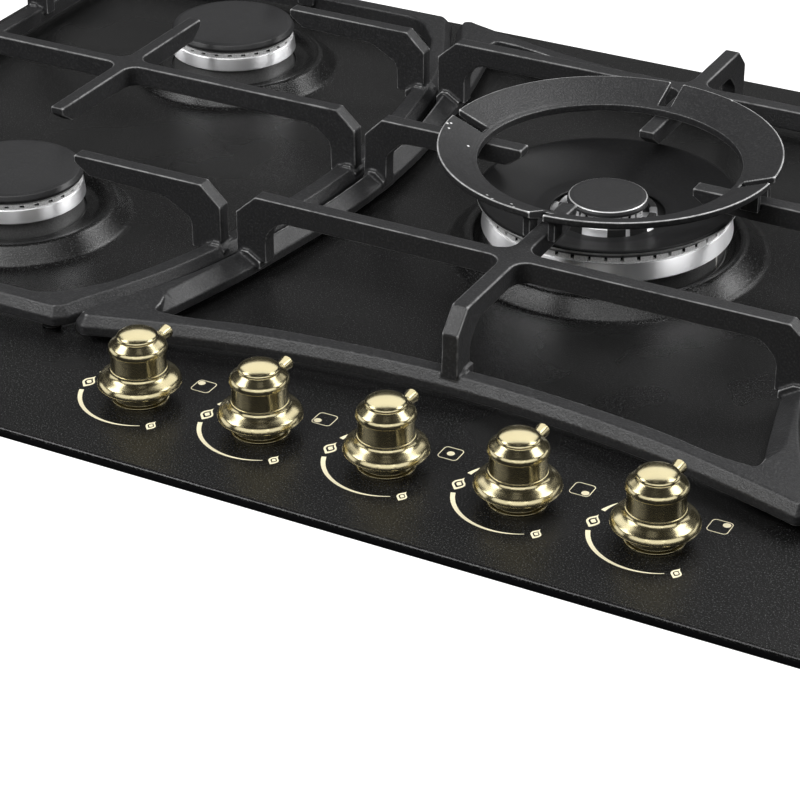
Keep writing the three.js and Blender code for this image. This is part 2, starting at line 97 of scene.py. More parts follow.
def ramp(nodes, links, src, stops):
    r = nodes.new('ShaderNodeValToRGB')
    el = r.color_ramp.elements
    while len(el) < len(stops):
        el.new(0.5)
    for e, (p, c) in zip(el, stops):
        e.position = p
        e.color = (c[0], c[1], c[2], 1.0) if isinstance(c, (tuple, list)) else (c, c, c, 1.0)
    links.new(src, r.inputs['Fac'])
    return r


def bump(nodes, links, src, strength, distance, normal=None):
    b = nodes.new('ShaderNodeBump')
    b.inputs['Strength'].default_value = strength
    b.inputs['Distance'].default_value = distance
    links.new(src, b.inputs['Height'])
    if normal is not None:
        links.new(normal.outputs['Normal'], b.inputs['Normal'])
    return b


def enamel_material():
    m, nt, bs, nodes, links = new_mat('enamel_black')
    tc = coords(nodes)
    speck = noise(nodes, links, tc, 1500.0, 2.0, 0.55)
    broad = noise(nodes, links, tc, 9.0, 3.0, 0.5)
    base = ramp(nodes, links, speck.outputs['Fac'],
                [(0.0, 0.003), (0.50, 0.0045), (0.60, 0.018), (0.72, 0.075)])
    links.new(base.outputs['Color'], bs.inputs['Base Color'])
    rr = ramp(nodes, links, broad.outputs['Fac'], [(0.3, 0.23), (0.7, 0.29)])
    links.new(rr.outputs['Color'], bs.inputs['Roughness'])
    bs.inputs['Specular IOR Level'].default_value = 0.42
    b = bump(nodes, links, speck.outputs['Fac'], 0.45, 0.0003)
    links.new(b.outputs['Normal'], bs.inputs['Normal'])
    return m


def iron_material(name='cast_iron_enamel', least=0.15, white=0.6):
    m, nt, bs, nodes, links = new_mat(name)
    tc = coords(nodes)
    geo = nodes.new('ShaderNodeNewGeometry')
    grain = noise(nodes, links, tc, 900.0, 3.0, 0.65)
    mid = noise(nodes, links, tc, 120.0, 4.0, 0.6)
    body = ramp(nodes, links, grain.outputs['Fac'],
                [(0.25, (0.013, 0.013, 0.014)), (0.52, (0.021, 0.021, 0.022)), (0.75, (0.050, 0.050, 0.051))])
    # painted highlight, partly real wear: convex edges (high pointiness) are mixed toward light grey and broken up by
    # noise, giving worn edges and painted edge highlights
    edge = ramp(nodes, links, geo.outputs['Pointiness'], [(0.527, 0.0), (0.572, 1.0)])
    mix = nodes.new('ShaderNodeMix')
    mix.data_type = 'RGBA'
    broken = ramp(nodes, links, mid.outputs['Fac'], [(0.34, least), (0.60, 1.0)])
    wear_and_highlight = nodes.new('ShaderNodeMath')
    wear_and_highlight.operation = 'MULTIPLY'
    links.new(edge.outputs['Color'], wear_and_highlight.inputs[0])
    links.new(broken.outputs['Color'], wear_and_highlight.inputs[1])
    links.new(wear_and_highlight.outputs['Value'], mix.inputs['Factor'])
    links.new(body.outputs['Color'], mix.inputs['A'])
    mix.inputs['B'].default_value = (white, white, white, 1.0)
    links.new(mix.outputs['Result'], bs.inputs['Base Color'])
    rr = ramp(nodes, links, mid.outputs['Fac'], [(0.3, 0.40), (0.7, 0.50)])
    links.new(rr.outputs['Color'], bs.inputs['Roughness'])
    bs.inputs['Specular IOR Level'].default_value = 0.5
    b1 = bump(nodes, links, mid.outputs['Fac'], 0.2, 0.0006)
    b2 = bump(nodes, links, grain.outputs['Fac'], 0.6, 0.00035, b1)
    links.new(b2.outputs['Normal'], bs.inputs['Normal'])
    return m


def turned(bs, nodes, links, amount):
    t = nodes.new('ShaderNodeTangent')
    t.direction_type = 'RADIAL'
    t.axis = 'Z'
    links.new(t.outputs['Tangent'], bs.inputs['Tangent'])
    bs.inputs['Anisotropic'].default_value = amount
    bs.inputs['Anisotropic Rotation'].default_value = 0.25


def brass_material(name='brass_satin', k=1.0):
    m, nt, bs, nodes, links = new_mat(name)
    tc = coords(nodes)
    mp = nodes.new('ShaderNodeMapping')
    mp.inputs['Scale'].default_value = (30.0, 30.0, 1500.0)
    links.new(tc.outputs['Object'], mp.inputs['Vector'])
    turn = nodes.new('ShaderNodeTexNoise')
    turn.inputs['Scale'].default_value = 1.0
    turn.inputs['Detail'].default_value = 3.0
    links.new(mp.outputs['Vector'], turn.inputs['Vector'])
    broad = noise(nodes, links, tc, 60.0, 2.0, 0.5)
    # k below 1 darkens the brass for shaded copies (painted shade)
    col = ramp(nodes, links, broad.outputs['Fac'],
               [(0.3, (0.64 * k, 0.56 * k, 0.335 * k)), (0.7, (0.70 * k, 0.62 * k, 0.38 * k))])
    links.new(col.outputs['Color'], bs.inputs['Base Color'])
    bs.inputs['Metallic'].default_value = 1.0
    rr = ramp(nodes, links, turn.outputs['Fac'], [(0.2, 0.195), (0.8, 0.225)])
    links.new(rr.outputs['Color'], bs.inputs['Roughness'])
    turned(bs, nodes, links, 0.4)
    b = bump(nodes, links, turn.outputs['Fac'], 0.03, 0.00003)
    links.new(b.outputs['Normal'], bs.inputs['Normal'])
    return m


def print_material():
    m, nt, bs, nodes, links = new_mat('printed_gold')
    tc = coords(nodes)
    n = noise(nodes, links, tc, 1800.0, 2.0, 0.5)
    col = ramp(nodes, links, n.outputs['Fac'], [(0.3, (0.86, 0.78, 0.53)), (0.7, (0.95, 0.88, 0.64))])
    links.new(col.outputs['Color'], bs.inputs['Base Color'])
    bs.inputs['Metallic'].default_value = 0.0
    bs.inputs['Roughness'].default_value = 0.5
    # painted light: the print glows faintly so it reads brighter than its lighting gives
    bs.inputs['Emission Color'].default_value = (0.95, 0.86, 0.60, 1.0)
    bs.inputs['Emission Strength'].default_value = 0.10
    return m


def polished_material():
    m, nt, bs, nodes, links = new_mat('aluminium_polished')
    tc = coords(nodes)
    mp = nodes.new('ShaderNodeMapping')
    mp.inputs['Scale'].default_value = (60.0, 60.0, 3000.0)
    links.new(tc.outputs['Object'], mp.inputs['Vector'])
    n = nodes.new('ShaderNodeTexNoise')
    n.inputs['Scale'].default_value = 1.0
    n.inputs['Detail'].default_value = 2.0
    links.new(mp.outputs['Vector'], n.inputs['Vector'])
    bs.inputs['Base Color'].default_value = (0.90, 0.90, 0.91, 1.0)
    bs.inputs['Metallic'].default_value = 1.0
    rr = ramp(nodes, links, n.outputs['Fac'], [(0.2, 0.40), (0.8, 0.46)])
    links.new(rr.outputs['Color'], bs.inputs['Roughness'])
    turned(bs, nodes, links, 0.85)
    b = bump(nodes, links, n.outputs['Fac'], 0.05, 0.00005)
    links.new(b.outputs['Normal'], bs.inputs['Normal'])
    return m


def blasted_material(name='aluminium_blasted', lo=0.62, hi=0.98, metal=0.4):
    m, nt, bs, nodes, links = new_mat(name)
    tc = coords(nodes)
    n = noise(nodes, links, tc, 1300.0, 3.0, 0.6)
    col = ramp(nodes, links, n.outputs['Fac'], [(0.3, lo), (0.7, hi)])
    links.new(col.outputs['Color'], bs.inputs['Base Color'])
    bs.inputs['Metallic'].default_value = metal
    bs.inputs['Roughness'].default_value = 0.45
    b = bump(nodes, links, n.outputs['Fac'], 0.35, 0.0002)
    links.new(b.outputs['Normal'], bs.inputs['Normal'])
    return m


def cap_material(name='cap_enamel_matte', k=1.0):
    m, nt, bs, nodes, links = new_mat(name)
    tc = coords(nodes)
    n = noise(nodes, links, tc, 1100.0, 3.0, 0.6)
    mid = noise(nodes, links, tc, 45.0, 3.0, 0.55)
    # k below 1 darkens the enamel for shaded copies (painted shade)
    col = ramp(nodes, links, n.outputs['Fac'],
               [(0.3, (0.022 * k, 0.022 * k, 0.023 * k)), (0.6, (0.030 * k, 0.030 * k, 0.031 * k)), (0.8, (0.055 * k, 0.055 * k, 0.057 * k))])
    links.new(col.outputs['Color'], bs.inputs['Base Color'])
    rr = ramp(nodes, links, mid.outputs['Fac'], [(0.3, 0.37), (0.7, 0.46)])
    links.new(rr.outputs['Color'], bs.inputs['Roughness'])
    bs.inputs['Specular IOR Level'].default_value = 0.5
    b = bump(nodes, links, n.outputs['Fac'], 0.22, 0.0002)
    links.new(b.outputs['Normal'], bs.inputs['Normal'])
    # shaded copies also get a lower specular level
    bs.inputs['Specular IOR Level'].default_value = 0.5 if k == 1.0 else 0.2
    return m


def simple_material(name, color, rough, metal=0.0, scale=600.0, strength=0.15):
    m, nt, bs, nodes, links = new_mat(name)
    tc = coords(nodes)
    n = noise(nodes, links, tc, scale, 3.0, 0.6)
    c0 = tuple(c * 0.85 for c in color)
    col = ramp(nodes, links, n.outputs['Fac'], [(0.3, c0), (0.7, color)])
    links.new(col.outputs['Color'], bs.inputs['Base Color'])
    bs.inputs['Metallic'].default_value = metal
    bs.inputs['Roughness'].default_value = rough
    b = bump(nodes, links, n.outputs['Fac'], strength, 0.0002)
    links.new(b.outputs['Normal'], bs.inputs['Normal'])
    return m


M_ENAMEL = enamel_material()
# painted shade: the plate's outer lip faces get a darker, less reflective copy of the enamel so they read near-black
M_LIP = simple_material('enamel_lip', (0.008, 0.008, 0.009), 0.5, 0.0, 1500.0, 0.1)
M_LIP.node_tree.nodes['Principled BSDF'].inputs['Specular IOR Level'].default_value = 0.18
# painted shade: a near-black material laid on the port recesses and slots, standing in for the shade inside them
M_PORT_SHADE = simple_material('port_shadow', (0.006, 0.006, 0.006), 0.8, 0.0, 900.0, 0.3)
M_WORN = simple_material('enamel_worn_edge', (0.75, 0.75, 0.75), 0.36, 0.5, 900.0, 0.2)
M_IRON = iron_material()
# lit copy of the cast iron: the wok ring gets stronger painted edge highlights (higher floor, pure white)
M_RING = iron_material('cast_iron_ring', 0.5, 1.0)
M_BRASS = brass_material()
# painted shade: the bezel under the knob skirt gets a darker copy of the brass (colour x0.55)
M_BEZEL = brass_material('brass_bezel', 0.55)
M_PRINT = print_material()
M_POLISH = polished_material()
M_BLAST = blasted_material()
M_CASTALU = blasted_material('aluminium_cast', 0.16, 0.24, 0.8)
M_CAP = cap_material()
# painted shade: the crown gets a darker, less reflective copy of the cap enamel (colour x0.45)
M_CROWN = cap_material('crown_enamel_matte', 0.45)
M_ZINC = simple_material('zinc_sheet', (0.42, 0.44, 0.45), 0.42, 0.9, 90.0, 0.05)
M_STEEL = simple_material('steel_satin', (0.55, 0.55, 0.56), 0.3, 1.0, 400.0, 0.08)
M_VALVE = simple_material('valve_brass', (0.50, 0.38, 0.17), 0.38, 1.0, 300.0, 0.1)
M_SEAL = simple_material('seal_foam', (0.02, 0.02, 0.02), 0.9, 0.0, 900.0, 0.5)
M_PLASTIC = simple_material('module_plastic', (0.62, 0.61, 0.57), 0.5, 0.0, 700.0, 0.1)
M_CERAMIC = simple_material('ceramic_glaze', (0.80, 0.79, 0.74), 0.25, 0.0, 300.0, 0.05)


# ------------------------------------------------------------------ mesh tools
def make(name, verts, faces, mats, sharp=32.0, mat_index=None, smooth=True):
    """verts in mm in the row frame."""
    me = bpy.data.meshes.new(name)
    me.from_pydata([(x * MM, y * MM, z * MM) for x, y, z in verts], [], faces)
    me.validate()
    if not isinstance(mats, (list, tuple)):
        mats = [mats]
    for mt in mats:
        me.materials.append(mt)
    for i, p in enumerate(me.polygons):
        p.use_smooth = smooth
        if mat_index is not None:
            p.material_index = mat_index[i]
    me.update()
    if smooth:
        me.set_sharp_from_angle(angle=math.radians(sharp))
    ob = bpy.data.objects.new(name, me)
    bpy.context.scene.collection.objects.link(ob)
    return ob


def place(ob, body, slot, *nodes):
    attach(ob, body)
    if nodes:
        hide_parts(*nodes)
    return ob


def fillet(pts, radius, n=3, close=False):
    """Rounds each corner of a profile; radius is one number or one per point."""
    out = []
    cnt = len(pts)
    for i, p in enumerate(pts):
        r = radius[i] if isinstance(radius, (list, tuple)) else radius
        if (not close and i in (0, cnt - 1)) or r <= 0:
            out.append(tuple(p))
            continue
        a, b, c = Vector(pts[i - 1]), Vector(p), Vector(pts[(i + 1) % cnt])
        u, v = (a - b), (c - b)
        lu, lv = u.length, v.length
        if lu < 1e-6 or lv < 1e-6:
            continue
        u, v = u / lu, v / lv
        cosang = max(-1.0, min(1.0, u.dot(v)))
        ang = math.acos(cosang)
        if ang > math.radians(172):
            out.append(tuple(p))
            continue
        t = min(r / math.tan(ang / 2), 0.45 * lu, 0.45 * lv)
        rr = t * math.tan(ang / 2)
        bis = (u + v)
        bis = bis / bis.length
        cen = b + bis * (rr / math.sin(ang / 2))
        s, e = b + u * t - cen, b + v * t - cen
        a0 = math.atan2(s.y, s.x)
        a1 = math.atan2(e.y, e.x)
        d = a1 - a0
        while d > math.pi:
            d -= 2 * math.pi
        while d < -math.pi:
            d += 2 * math.pi
        for k in range(n + 1):
            th = a0 + d * k / n
            out.append((cen.x + rr * math.cos(th), cen.y + rr * math.sin(th)))
    return out


def catmull(pts, n=5):
    """Smooth open curve through the points."""
    out = []
    for i in range(len(pts) - 1):
        p0 = Vector(pts[max(i - 1, 0)])
        p1 = Vector(pts[i])
        p2 = Vector(pts[i + 1])
        p3 = Vector(pts[min(i + 2, len(pts) - 1)])
        for k in range(n):
            t = k / n
            q = 0.5 * ((2 * p1) + (p2 - p0) * t + (2 * p0 - 5 * p1 + 4 * p2 - p3) * t * t
                       + (3 * p1 - p0 - 3 * p2 + p3) * t ** 3)
            out.append(tuple(q))
    out.append(tuple(pts[-1]))
    return out


def lathe(name, profile, mats, cx, cy, cz, seg=96, close=True, thetas=None, rmod=None, mids=None,
          sharp=32.0, axis='Z', matfn=None):
    """Turned solid. profile is [(r, z)] in mm; rmod(theta, i, r) may change a radius."""
    th = thetas or [2 * math.pi * k / seg for k in range(seg)]
    n, m = len(th), len(profile)
    verts, ring = [], []
    for i, (r, z) in enumerate(profile):
        if r < 1e-6:
            ring.append([len(verts)])
            verts.append((0.0, 0.0, z))
            continue
        row = []
        for t in th:
            q = rmod(t, i, r) if rmod else r
            row.append(len(verts))
            verts.append((q * math.cos(t), q * math.sin(t), z))
        ring.append(row)
    faces, idx = [], []
    pairs = [(i, i + 1) for i in range(m - 1)]
    if close and profile[0][0] > 1e-6 and profile[-1][0] > 1e-6:
        pairs.append((m - 1, 0))
    for i, j in pairs:
        a, b = ring[i], ring[j]
        mi = mids[i] if mids else 0
        if len(a) == 1 and len(b) == 1:
            continue
        for k in range(n):
            l = (k + 1) % n
            if len(a) == 1:
                faces.append((a[0], b[l], b[k]))
            elif len(b) == 1:
                faces.append((a[k], a[l], b[0]))
            else:
                faces.append((a[k], a[l], b[l], b[k]))
            idx.append(matfn(th[k], th[l], i, mi) if matfn else mi)
    # faces outward when the profile runs counter-clockwise in (r, z)
    area = sum(profile[i][0] * profile[(i + 1) % m][1] - profile[(i + 1) % m][0] * profile[i][1] for i in range(m))
    if area < 0:
        faces = [tuple(reversed(f)) for f in faces]
    if axis == 'Y':
        verts = [(x, z, y) for x, y, z in verts]
        faces = [tuple(reversed(f)) for f in faces]
    verts = [(x + cx, y + cy, z + cz) for x, y, z in verts]
    return make(name, verts, faces, mats, sharp, idx)


def prism_data(outline, z0, z1):
    """Closed prism of a flat outline (counter-clockwise) between two heights."""
    n = len(outline)
    verts = [(x, y, z0) for x, y in outline] + [(x, y, z1) for x, y in outline]
    tri = tessellate_polygon([[Vector((x, y, 0)) for x, y in outline]])
    faces = []
    for a, b, c in tri:
        (ax, ay), (bx, by), (qx, qy) = outline[a], outline[b], outline[c]
        up = (bx - ax) * (qy - ay) - (by - ay) * (qx - ax) > 0
        t = (a, b, c) if up else (c, b, a)
        faces.append((t[2], t[1], t[0]))
        faces.append((t[0] + n, t[1] + n, t[2] + n))
    ccw = sum(outline[i][0] * outline[(i + 1) % n][1] - outline[(i + 1) % n][0] * outline[i][1] for i in range(n)) > 0
    for i in range(n):
        j = (i + 1) % n
        f = (i, j, j + n, i + n)
        faces.append(f if ccw else tuple(reversed(f)))
    return verts, faces


class Bundle:
    """Collects closed solids into one mesh."""

    def __init__(self):
        self.v, self.f = [], []

    def add(self, verts, faces):
        o = len(self.v)
        self.v += verts
        self.f += [tuple(i + o for i in f) for f in faces]
        return self

    def prism(self, outline, z0, z1):
        return self.add(*prism_data(outline, z0, z1))

    def blade_x(self, prof, y0, t):
        """Blade standing in the XZ plane, profile [(x, z)] in mm."""
        v, f = prism_data(prof, -t / 2, t / 2)
        v = [(x, y0 - w, z) for x, z, w in v]
        return self.add(v, f)

    def blade_y(self, prof, x0, t):
        v, f = prism_data(prof, -t / 2, t / 2)
        v = [(x0 + w, y, z) for y, z, w in v]
        return self.add(v, f)

    def loft_ring(self, outer_levels, inner_levels):
        """Ring between outer and inner outlines; levels are [(outline, z)] from bottom to top."""
        for levels, flip in ((outer_levels, False), (inner_levels, True)):
            n = len(levels[0][0])
            vs = [(x, y, z) for o, z in levels for x, y in o]
            fs = []
            for l in range(len(levels) - 1):
                for i in range(n):
                    j = (i + 1) % n
                    q = (l * n + i, l * n + j, (l + 1) * n + j, (l + 1) * n + i)
                    fs.append(tuple(reversed(q)) if flip else q)
            if flip:
                vi, fi = vs, fs
            else:
                vo, fo = vs, fs
        no, ni = len(outer_levels[0][0]), len(inner_levels[0][0])
        verts = vo + vi
        off = len(vo)
        faces = fo + [tuple(k + off for k in f) for f in fi]
        for which, lo, li, upward in ((0, 0, 0, False), (1, (len(outer_levels) - 1) * no, (len(inner_levels) - 1) * ni, True)):
            po = outer_levels[-1 if which else 0][0]
            pi = inner_levels[-1 if which else 0][0]
            allp = list(po) + list(pi)
            tri = tessellate_polygon([[Vector((x, y, 0)) for x, y in po], [Vector((x, y, 0)) for x, y in pi]])
            for t in tri:
                (ax, ay), (bx, by), (qx, qy) = (allp[k] for k in t)
                up = (bx - ax) * (qy - ay) - (by - ay) * (qx - ax) > 0
                g = [(lo + k) if k < no else (off + li + k - no) for k in t]
                if up != upward:
                    g.reverse()
                faces.append(tuple(g))
        return self.add(verts, faces)

    def build(self, name, mat, sharp=32.0):
        return make(name, self.v, self.f, mat, sharp)


def round_rect(w, d, r, steps=8):
    o = []
    for cx, cy, a0 in ((w / 2 - r, d / 2 - r, 0), (-w / 2 + r, d / 2 - r, 90),
                       (-w / 2 + r, -d / 2 + r, 180), (w / 2 - r, -d / 2 + r, 270)):
        for i in range(steps + 1):
            t = math.radians(a0 + 90 * i / steps)
            o.append((cx + r * math.cos(t), cy + r * math.sin(t)))
    return o


def inset(outline, d):
    n = len(outline)
    out = []
    for i, p in enumerate(outline):
        a, b = outline[i - 1], outline[(i + 1) % n]
        e = (p[0] - a[0], p[1] - a[1])
        f = (b[0] - p[0], b[1] - p[1])
        le, lf = math.hypot(*e), math.hypot(*f)
        ne, nf = (-e[1] / le, e[0] / le), (-f[1] / lf, f[0] / lf)
        k = 1 + ne[0] * nf[0] + ne[1] * nf[1]
        out.append((p[0] + d * (ne[0] + nf[0]) / k, p[1] + d * (ne[1] + nf[1]) / k))
    return out


# ------------------------------------------------------------------ camera
YAW, PITCH_A, ROLL = math.radians(27.675), math.radians(30.382), math.radians(-0.038)
fw = Vector((-math.sin(YAW) * math.cos(PITCH_A), math.cos(YAW) * math.cos(PITCH_A), -math.sin(PITCH_A)))
rt = Vector((math.cos(YAW), math.sin(YAW), 0))
up = rt.cross(fw)
rt, up = rt * math.cos(ROLL) + up * math.sin(ROLL), up * math.cos(ROLL) - rt * math.sin(ROLL)
cam_data = bpy.data.cameras.new('camera')
cam_data.sensor_width = 36.0
cam_data.lens = 36.0 * 2693.3 / 800.0
cam_data.shift_x = -(413.47 - 400.0) / 800.0
cam_data.clip_start, cam_data.clip_end = 0.05, 60.0
camera = bpy.data.objects.new('camera', cam_data)
bpy.context.scene.collection.objects.link(camera)
rot = Matrix((rt, up, -fw)).transposed()
camera.matrix_world = Matrix.Translation(Vector((0.4713, -1.07595, 0.66598))) @ rot.to_4x4()
bpy.context.scene.camera = camera

# ------------------------------------------------------------------ top plate
SIDE_BOSS = catmull([(61.6, 0), (60.0, 0.05), (58.0, 0.75), (56.4, 2.2)], 4)[:-1] + \
    catmull([(56.4, 2.2), (51.6, 7.2), (50.2, 8.35), (48.8, 8.75), (47.3, 8.6), (45.2, 7.7), (41.4, 5.2), (39.4, 4.6), (37.4, 4.5)], 4) + \
    [(35.3, 4.5)]
WOK_BOSS = catmull([(83.4, 0), (81.2, 0.05), (78.9, 0.85), (77.2, 2.3)], 4)[:-1] + \
    catmull([(77.2, 2.3), (71.9, 7.3), (70.3, 8.45), (68.6, 8.85), (66.9, 8.6), (65.4, 7.3), (63.6, 4.4), (62.6, 3.4), (61.6, 3.0)], 4) + \
    [(60.3, 3.0)]


def top_plate():
    verts, faces = [], []
    seg = 112

    def ring(points):
        s = len(verts)
        verts.extend(points)
        return list(range(s, s + len(points)))

    def bridge(a, b, flip=False):
        n = len(a)
        for i in range(n):
            j = (i + 1) % n
            q = (a[i], a[j], b[j], b[i])
            faces.append(tuple(reversed(q)) if flip else q)

    # rim, from the top flat outward and down, then back up inside
    W, D, R = 880.0, 510.0, 8.0
    levels = [(1.9, 0.0), (1.5, 0.0), (0.85, -0.12), (0.35, -0.4), (0.08, -0.85), (0.0, -1.4), (0.0, -4.45),
              (0.12, -4.65), (0.3, -4.7), (1.3, -4.7), (1.5, -4.55), (1.5, -1.9), (1.9, -1.5), (3.0, -1.5)]
    rings = []
    for d, z in levels:
        rings.append(ring([(x, y, z) for x, y in round_rect(W - 2 * d, D - 2 * d, R - min(d, 4) * 0.6, 8)]))
    for a, b in zip(rings, rings[1:]):
        bridge(a, b, flip=True)
    holes_top, holes_bot = [], []
    spots = [(x, y, SIDE_BOSS) for x, y in SIDES.values()] + [(WOK[0], WOK[1], WOK_BOSS)]
    for cx, cy, prof in spots:
        def circ(r, z):
            return ring([(cx + r * math.cos(2 * math.pi * k / seg), cy + r * math.sin(2 * math.pi * k / seg), z) for k in range(seg)])
        rows = [circ(r, z) for r, z in prof]
        holes_top.append(rows[0])
        for a, b in zip(rows, rows[1:]):
            bridge(a, b)
        low = [(prof[-1][0], prof[-1][1] - 0.3)] + [(r - (0.8 if 3 < i < len(prof) - 14 else 0.0), z - 1.5) for i, (r, z) in reversed(list(enumerate(prof)))]
        lrows = [circ(r, z) for r, z in low]
        bridge(rows[-1], lrows[0])
        for a, b in zip(lrows, lrows[1:]):
            bridge(a, b)
        holes_bot.append(lrows[-1])
    for i in range(5):
        kx = (i - 2) * PITCH
        top = ring([(kx + 7.4 * math.cos(2 * math.pi * k / 32), KNOB_Y + 7.4 * math.sin(2 * math.pi * k / 32), 0.0) for k in range(32)])
        bot = ring([(kx + 7.4 * math.cos(2 * math.pi * k / 32), KNOB_Y + 7.4 * math.sin(2 * math.pi * k / 32), -1.5) for k in range(32)])
        bridge(top, bot)
        holes_top.append(top)
        holes_bot.append(bot)
    for outer, holes, upward in ((rings[0], holes_top, True), (rings[-1], holes_bot, False)):
        loops = [outer] + holes
        flat = [k for lp in loops for k in lp]
        tri = tessellate_polygon([[Vector((verts[k][0], verts[k][1], 0)) for k in lp] for lp in loops])
        for t in tri:
            g = [flat[k] for k in t]
            (ax, ay, _), (bx, by, _), (qx, qy, _) = (verts[k] for k in g)
            if ((bx - ax) * (qy - ay) - (by - ay) * (qx - ax) > 0) != upward:
                g.reverse()
            faces.append(tuple(g))
    # the outer lip faces take the shaded enamel copy (painted shade)
    lip = []
    for f in faces:
        zc = [verts[k][2] for k in f]
        xc = [verts[k][0] for k in f]
        yc = [verts[k][1] for k in f]
        out = all(abs(x) > 439.8 or abs(y) > 254.8 or math.hypot(max(abs(x) - 432, 0), max(abs(y) - 247, 0)) > 7.85 for x, y in zip(xc, yc))
        lip.append(1 if out and min(zc) < -1.5 else 0)
    ob = make('top_plate_pressed', [(x, y, z + H) for x, y, z in verts], faces, [M_ENAMEL, M_LIP], 40.0, lip)
    return place(ob, 'hob', 'black_enamel', 'top_plate')


top_plate()


# ------------------------------------------------------------------ printed marks
def arc_band(cx, cy, r0, r1, a0, a1, w0, w1, n=40, power=1.0):
    pts_o, pts_i = [], []
    for k in range(n + 1):
        q = k / n
        t = math.radians(a0 + (a1 - a0) * q)
        w = w0 + (w1 - w0) * q ** power
        r = r0 + (r1 - r0) * q
        pts_o.append((cx + (r + w / 2) * math.cos(t), cy + (r + w / 2) * math.sin(t)))
        pts_i.append((cx + (r - w / 2) * math.cos(t), cy + (r - w / 2) * math.sin(t)))
    return pts_o + pts_i[::-1]


FLAME_L = [(-0.45, 6.3), (-1.1, 4.85), (-2.25, 3.6), (-3.35, 2.2), (-3.8, 0.75), (-3.7, -0.8), (-2.95, -2.2), (-1.75, -3.6), (-0.8, -4.8), (-0.25, -5.35)]
FLAME_R = [(-0.25, -5.35), (1.0, -4.0), (2.0, -2.6), (2.65, -1.2), (2.78, 0.05), (2.5, 0.95), (1.85, 2.0), (0.65, 3.4), (-0.2, 4.85), (-0.45, 6.3)]


def flame_outline(cx, cy, sx, sy):
    """Leaf-shaped flame symbol with its tip toward the back."""
    curve = catmull(FLAME_L, 4)[:-1] + catmull(FLAME_R, 4)[:-1]
    return [(cx + (x + 0.5) * sx * GU, cy + (y - 0.4) * sy * GU) for x, y in curve]


def marks():
    z0, z1 = H - 0.02, H + 0.07
    dots = {'rear_left': (-2.7, 2.45), 'front_left': (-2.6, -2.45), 'centre': (0, 0), 'front_right': (2.6, -2.45), 'rear_right': (2.5, 2.5)}
    for i, w in enumerate(ORDER):
        kx, ky = (i - 2) * PITCH, KNOB_Y
        b = Bundle()
        ax, ay = kx - 0.3 * GU, ky + 2.3 * GU
        b.prism(arc_band(ax, ay, 31.4 * GU, 31.3 * GU, 199.3, 300, 2.35 * GU, 0.3 * GU, 56, 1.5), z0, z1)
        b.prism(arc_band(ax, ay, 31.5 * GU, 31.9 * GU, 164.8, 146.0, 2.35 * GU, 0.2 * GU, 16), z0, z1)
        for px, py, sx, sy in ((-31.0, 0.4, 1.0, 1.0), (20.2, -22.0, 0.79, 0.74)):
            fx, fy = kx + px * GU, ky + py * GU
            o = flame_outline(fx, fy, sx, sy)
            kw = 0.7 if sx > 0.9 else 0.66
            c = flame_outline(fx, fy, sx * kw, sy * (kw - 0.06))
            if sum(o[k - 1][0] * o[k][1] - o[k][0] * o[k - 1][1] for k in range(len(o))) < 0:
                o, c = o[::-1], c[::-1]
            b.loft_ring([(o, z0), (o, z1)], [(c, z0), (c, z1)])
            b.prism(flame_outline(fx, fy, sx * 0.42, sy * 0.34), z0, z1)
        px, py = kx + 23.1 * GU, ky + 22.9 * GU
        sq = round_rect(10.7 * GU, 10.8 * GU, 2.2 * GU, 6)
        sq_in = round_rect(9.85 * GU, 9.95 * GU, 1.8 * GU, 6)
        b.loft_ring([([(px + x, py + y) for x, y in sq], z0), ([(px + x, py + y) for x, y in sq], z1)],
                    [([(px + x, py + y) for x, y in sq_in], z0), ([(px + x, py + y) for x, y in sq_in], z1)])
        dx, dy = dots[w]
        b.prism([(px + dx * GU + 1.95 * GU * math.cos(2 * math.pi * k / 32), py + dy * GU + 1.95 * GU * math.sin(2 * math.pi * k / 32)) for k in range(32)], z0, z1)
        ob = b.build(f'printed_marks_{w}', M_PRINT)
        place(ob, 'hob', 'brass')


marks()

# ------------------------------------------------------------------ knobs
KNOB = fillet([(12.4, 10.4), (12.4, 5.95), (13.3, 5.95)], 0.25)[:-1] + \
    catmull([(13.3, 5.95), (15.0, 6.25), (16.9, 6.8), (18.25, 7.3), (18.75, 7.6)], 4)[:-1] + \
    catmull([(18.75, 7.6), (19.05, 7.95), (19.12, 8.5), (18.95, 9.25), (18.6, 10.05), (18.0, 10.85), (17.1, 11.5), (16.05, 12.12), (15.0, 12.72), (14.1, 13.35), (13.45, 13.98), (13.1, 14.6), (13.0, 15.2)], 5) + \
    fillet([(13.0, 15.2), (13.0, 15.5), (12.58, 15.62), (12.52, 16.2)], 0.1)[1:] + \
    [(12.5, 16.6), (12.5, 18.5), (12.5, 20.5), (12.5, 22.5), (12.5, 23.9), (12.5, 24.3)] + \
    catmull([(12.6, 24.4), (13.15, 24.5), (13.42, 24.8), (13.44, 25.3), (13.33, 26.1), (13.08, 26.85), (12.65, 27.5), (12.0, 28.05), (11.15, 28.65), (10.3, 29.25), (9.6, 29.75), (9.12, 30.15), (8.95, 30.35)], 4) + \
    catmull([(8.95, 30.42), (9.15, 30.55), (9.34, 30.85), (9.37, 31.25), (9.12, 31.75), (8.35, 32.4), (6.85, 33.1), (5, 33.65), (3, 34.02), (1.2, 34.22), (0, 34.27)], 4)
KNOB_IN = [(0, 29.6), (3.4, 29.6), (3.4, 11.2)]
BEZEL = fillet([(4.2, 0), (13.35, 0), (13.4, 0.8), (12.75, 1.15), (11.95, 1.3), (11.85, 1.8), (11.75, 3.4), (11.6, 4.9), (11.5, 5.2), (4.2, 5.2)],
               [0, 0.2, 0.3, 0.3, 0.15, 0, 0, 0.2, 0.2, 0.2], 4, close=True)
